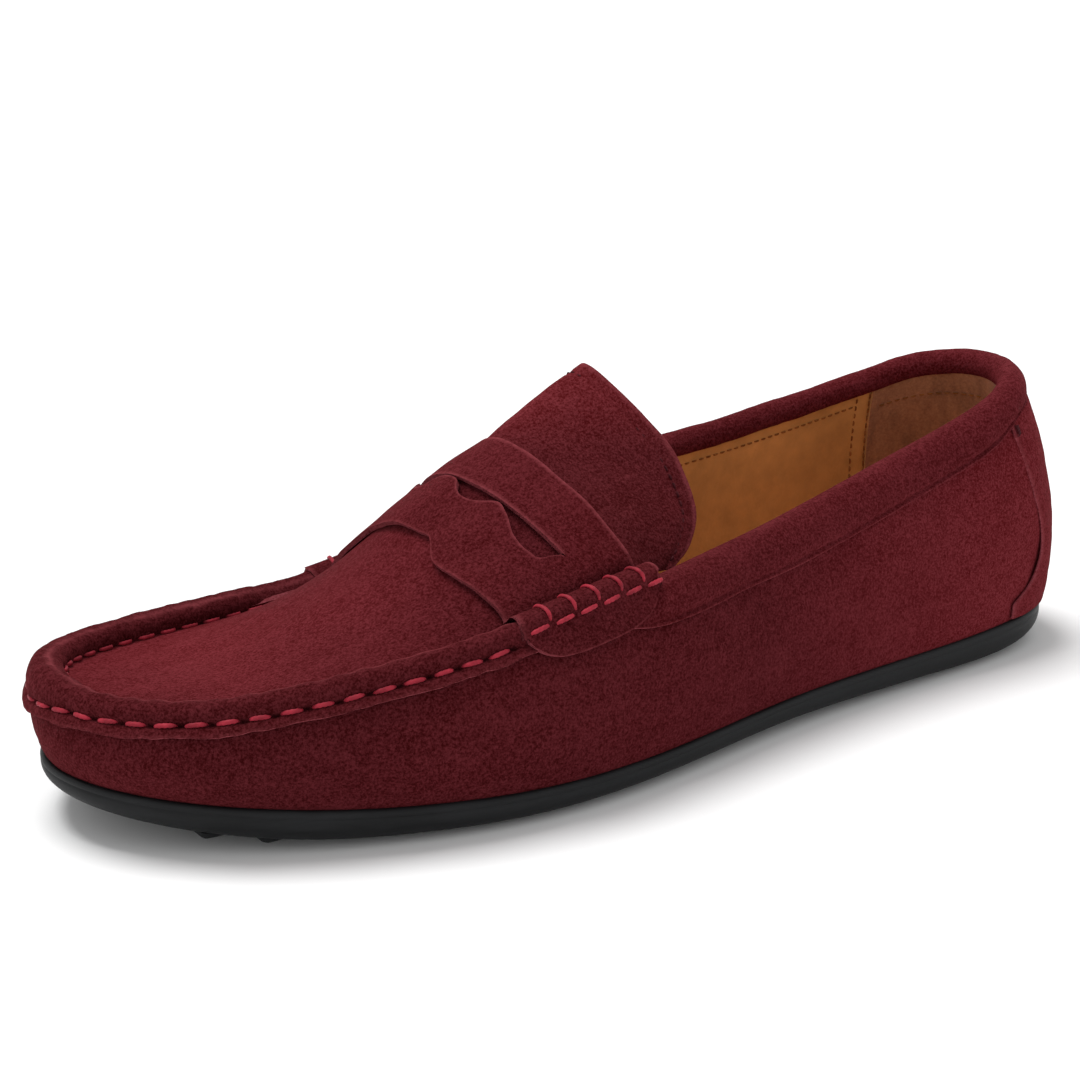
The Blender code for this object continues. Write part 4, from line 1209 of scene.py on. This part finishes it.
def make_studio():
    """A pale floor that reaches to the horizon."""
    angle = np.linspace(0, 2 * math.pi, 96, endpoint=False)
    rim_points = FLOOR_RADIUS * np.stack([np.cos(angle), np.sin(angle), 0 * angle], axis=1)
    mesh = bpy.data.meshes.new("studio_floor")
    mesh.from_pydata(rim_points.tolist(), [], [list(range(len(angle)))])
    look = Look("floor_white")
    speck = look.noise(30, detail=3)
    look.put(Roughness=0.9, Specular_IOR_Level=0.05)
    mesh.materials.append(look.finish(look.mix(speck, (0.86, 0.86, 0.86), (0.9, 0.9, 0.9))))
    floor_object = bpy.data.objects.new("studio_floor", mesh)
    bpy.context.scene.collection.objects.link(floor_object)


def make_lights():
    world = bpy.data.worlds.new("studio")
    world.use_nodes = True
    tree = world.node_tree
    direction = tree.nodes.new("ShaderNodeTexCoord")
    height = tree.nodes.new("ShaderNodeSeparateXYZ")
    strength = tree.nodes.new("ShaderNodeMapRange")
    numbers = (*HORIZON, HORIZON_STRENGTH, SKY_STRENGTH)
    for socket, number in zip(("From Min", "From Max", "To Min", "To Max"), numbers):
        strength.inputs[socket].default_value = number
    tree.links.new(direction.outputs["Generated"], height.inputs["Vector"])
    tree.links.new(height.outputs["Z"], strength.inputs["Value"])
    tree.links.new(strength.outputs["Result"], tree.nodes["Background"].inputs["Strength"])
    tree.nodes["Background"].inputs["Color"].default_value = (1, 1, 1, 1)
    bpy.context.scene.world = world
    key = bpy.data.lights.new("key", "SUN")
    key.energy = KEY_STRENGTH
    key.angle = KEY_ANGLE
    lamp = bpy.data.objects.new("key", key)
    lamp.rotation_mode = "QUATERNION"
    lamp.rotation_quaternion = KEY_DIRECTION.to_track_quat("Z", "Y")
    bpy.context.scene.collection.objects.link(lamp)


def make_camera():
    data = bpy.data.cameras.new("camera")
    data.lens, data.sensor_width = CAMERA_LENS, CAMERA_SENSOR
    data.clip_start, data.clip_end = 0.01, 2 * FLOOR_RADIUS
    camera = bpy.data.objects.new("camera", data)
    camera.location = CAMERA_PLACE
    camera.rotation_mode = "QUATERNION"
    camera.rotation_quaternion = (CAMERA_TARGET - CAMERA_PLACE).to_track_quat("-Z", "Y")
    bpy.context.scene.collection.objects.link(camera)
    bpy.context.scene.camera = camera


def dress_hidden_nodes():
    """Better materials on the CAD nodes that stay: the stiffeners and the board between the layers."""
    for node in ("insole_board", "toe_puff", "heel_counter"):
        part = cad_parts[node]
        for slot in part.material_slots:
            slot.material = board


def make_shoe():
    make_outsole()
    make_sock()
    make_wall()
    make_apron()
    make_seam_roll()
    make_seam_stitches()
    make_collar()
    make_collar_foam()
    make_heel_panel()
    make_panel_tacks()
    make_linings()
    make_vamp_lining()
    make_heel_grip()
    make_lining_stitches()
    make_strap()
    make_strap_stitches()
    dress_hidden_nodes()
    for piece in make_tongue():
        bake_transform(piece)


make_shoe()
make_studio()
make_lights()
make_camera()
bpy.context.scene.view_settings.view_transform = "Standard"
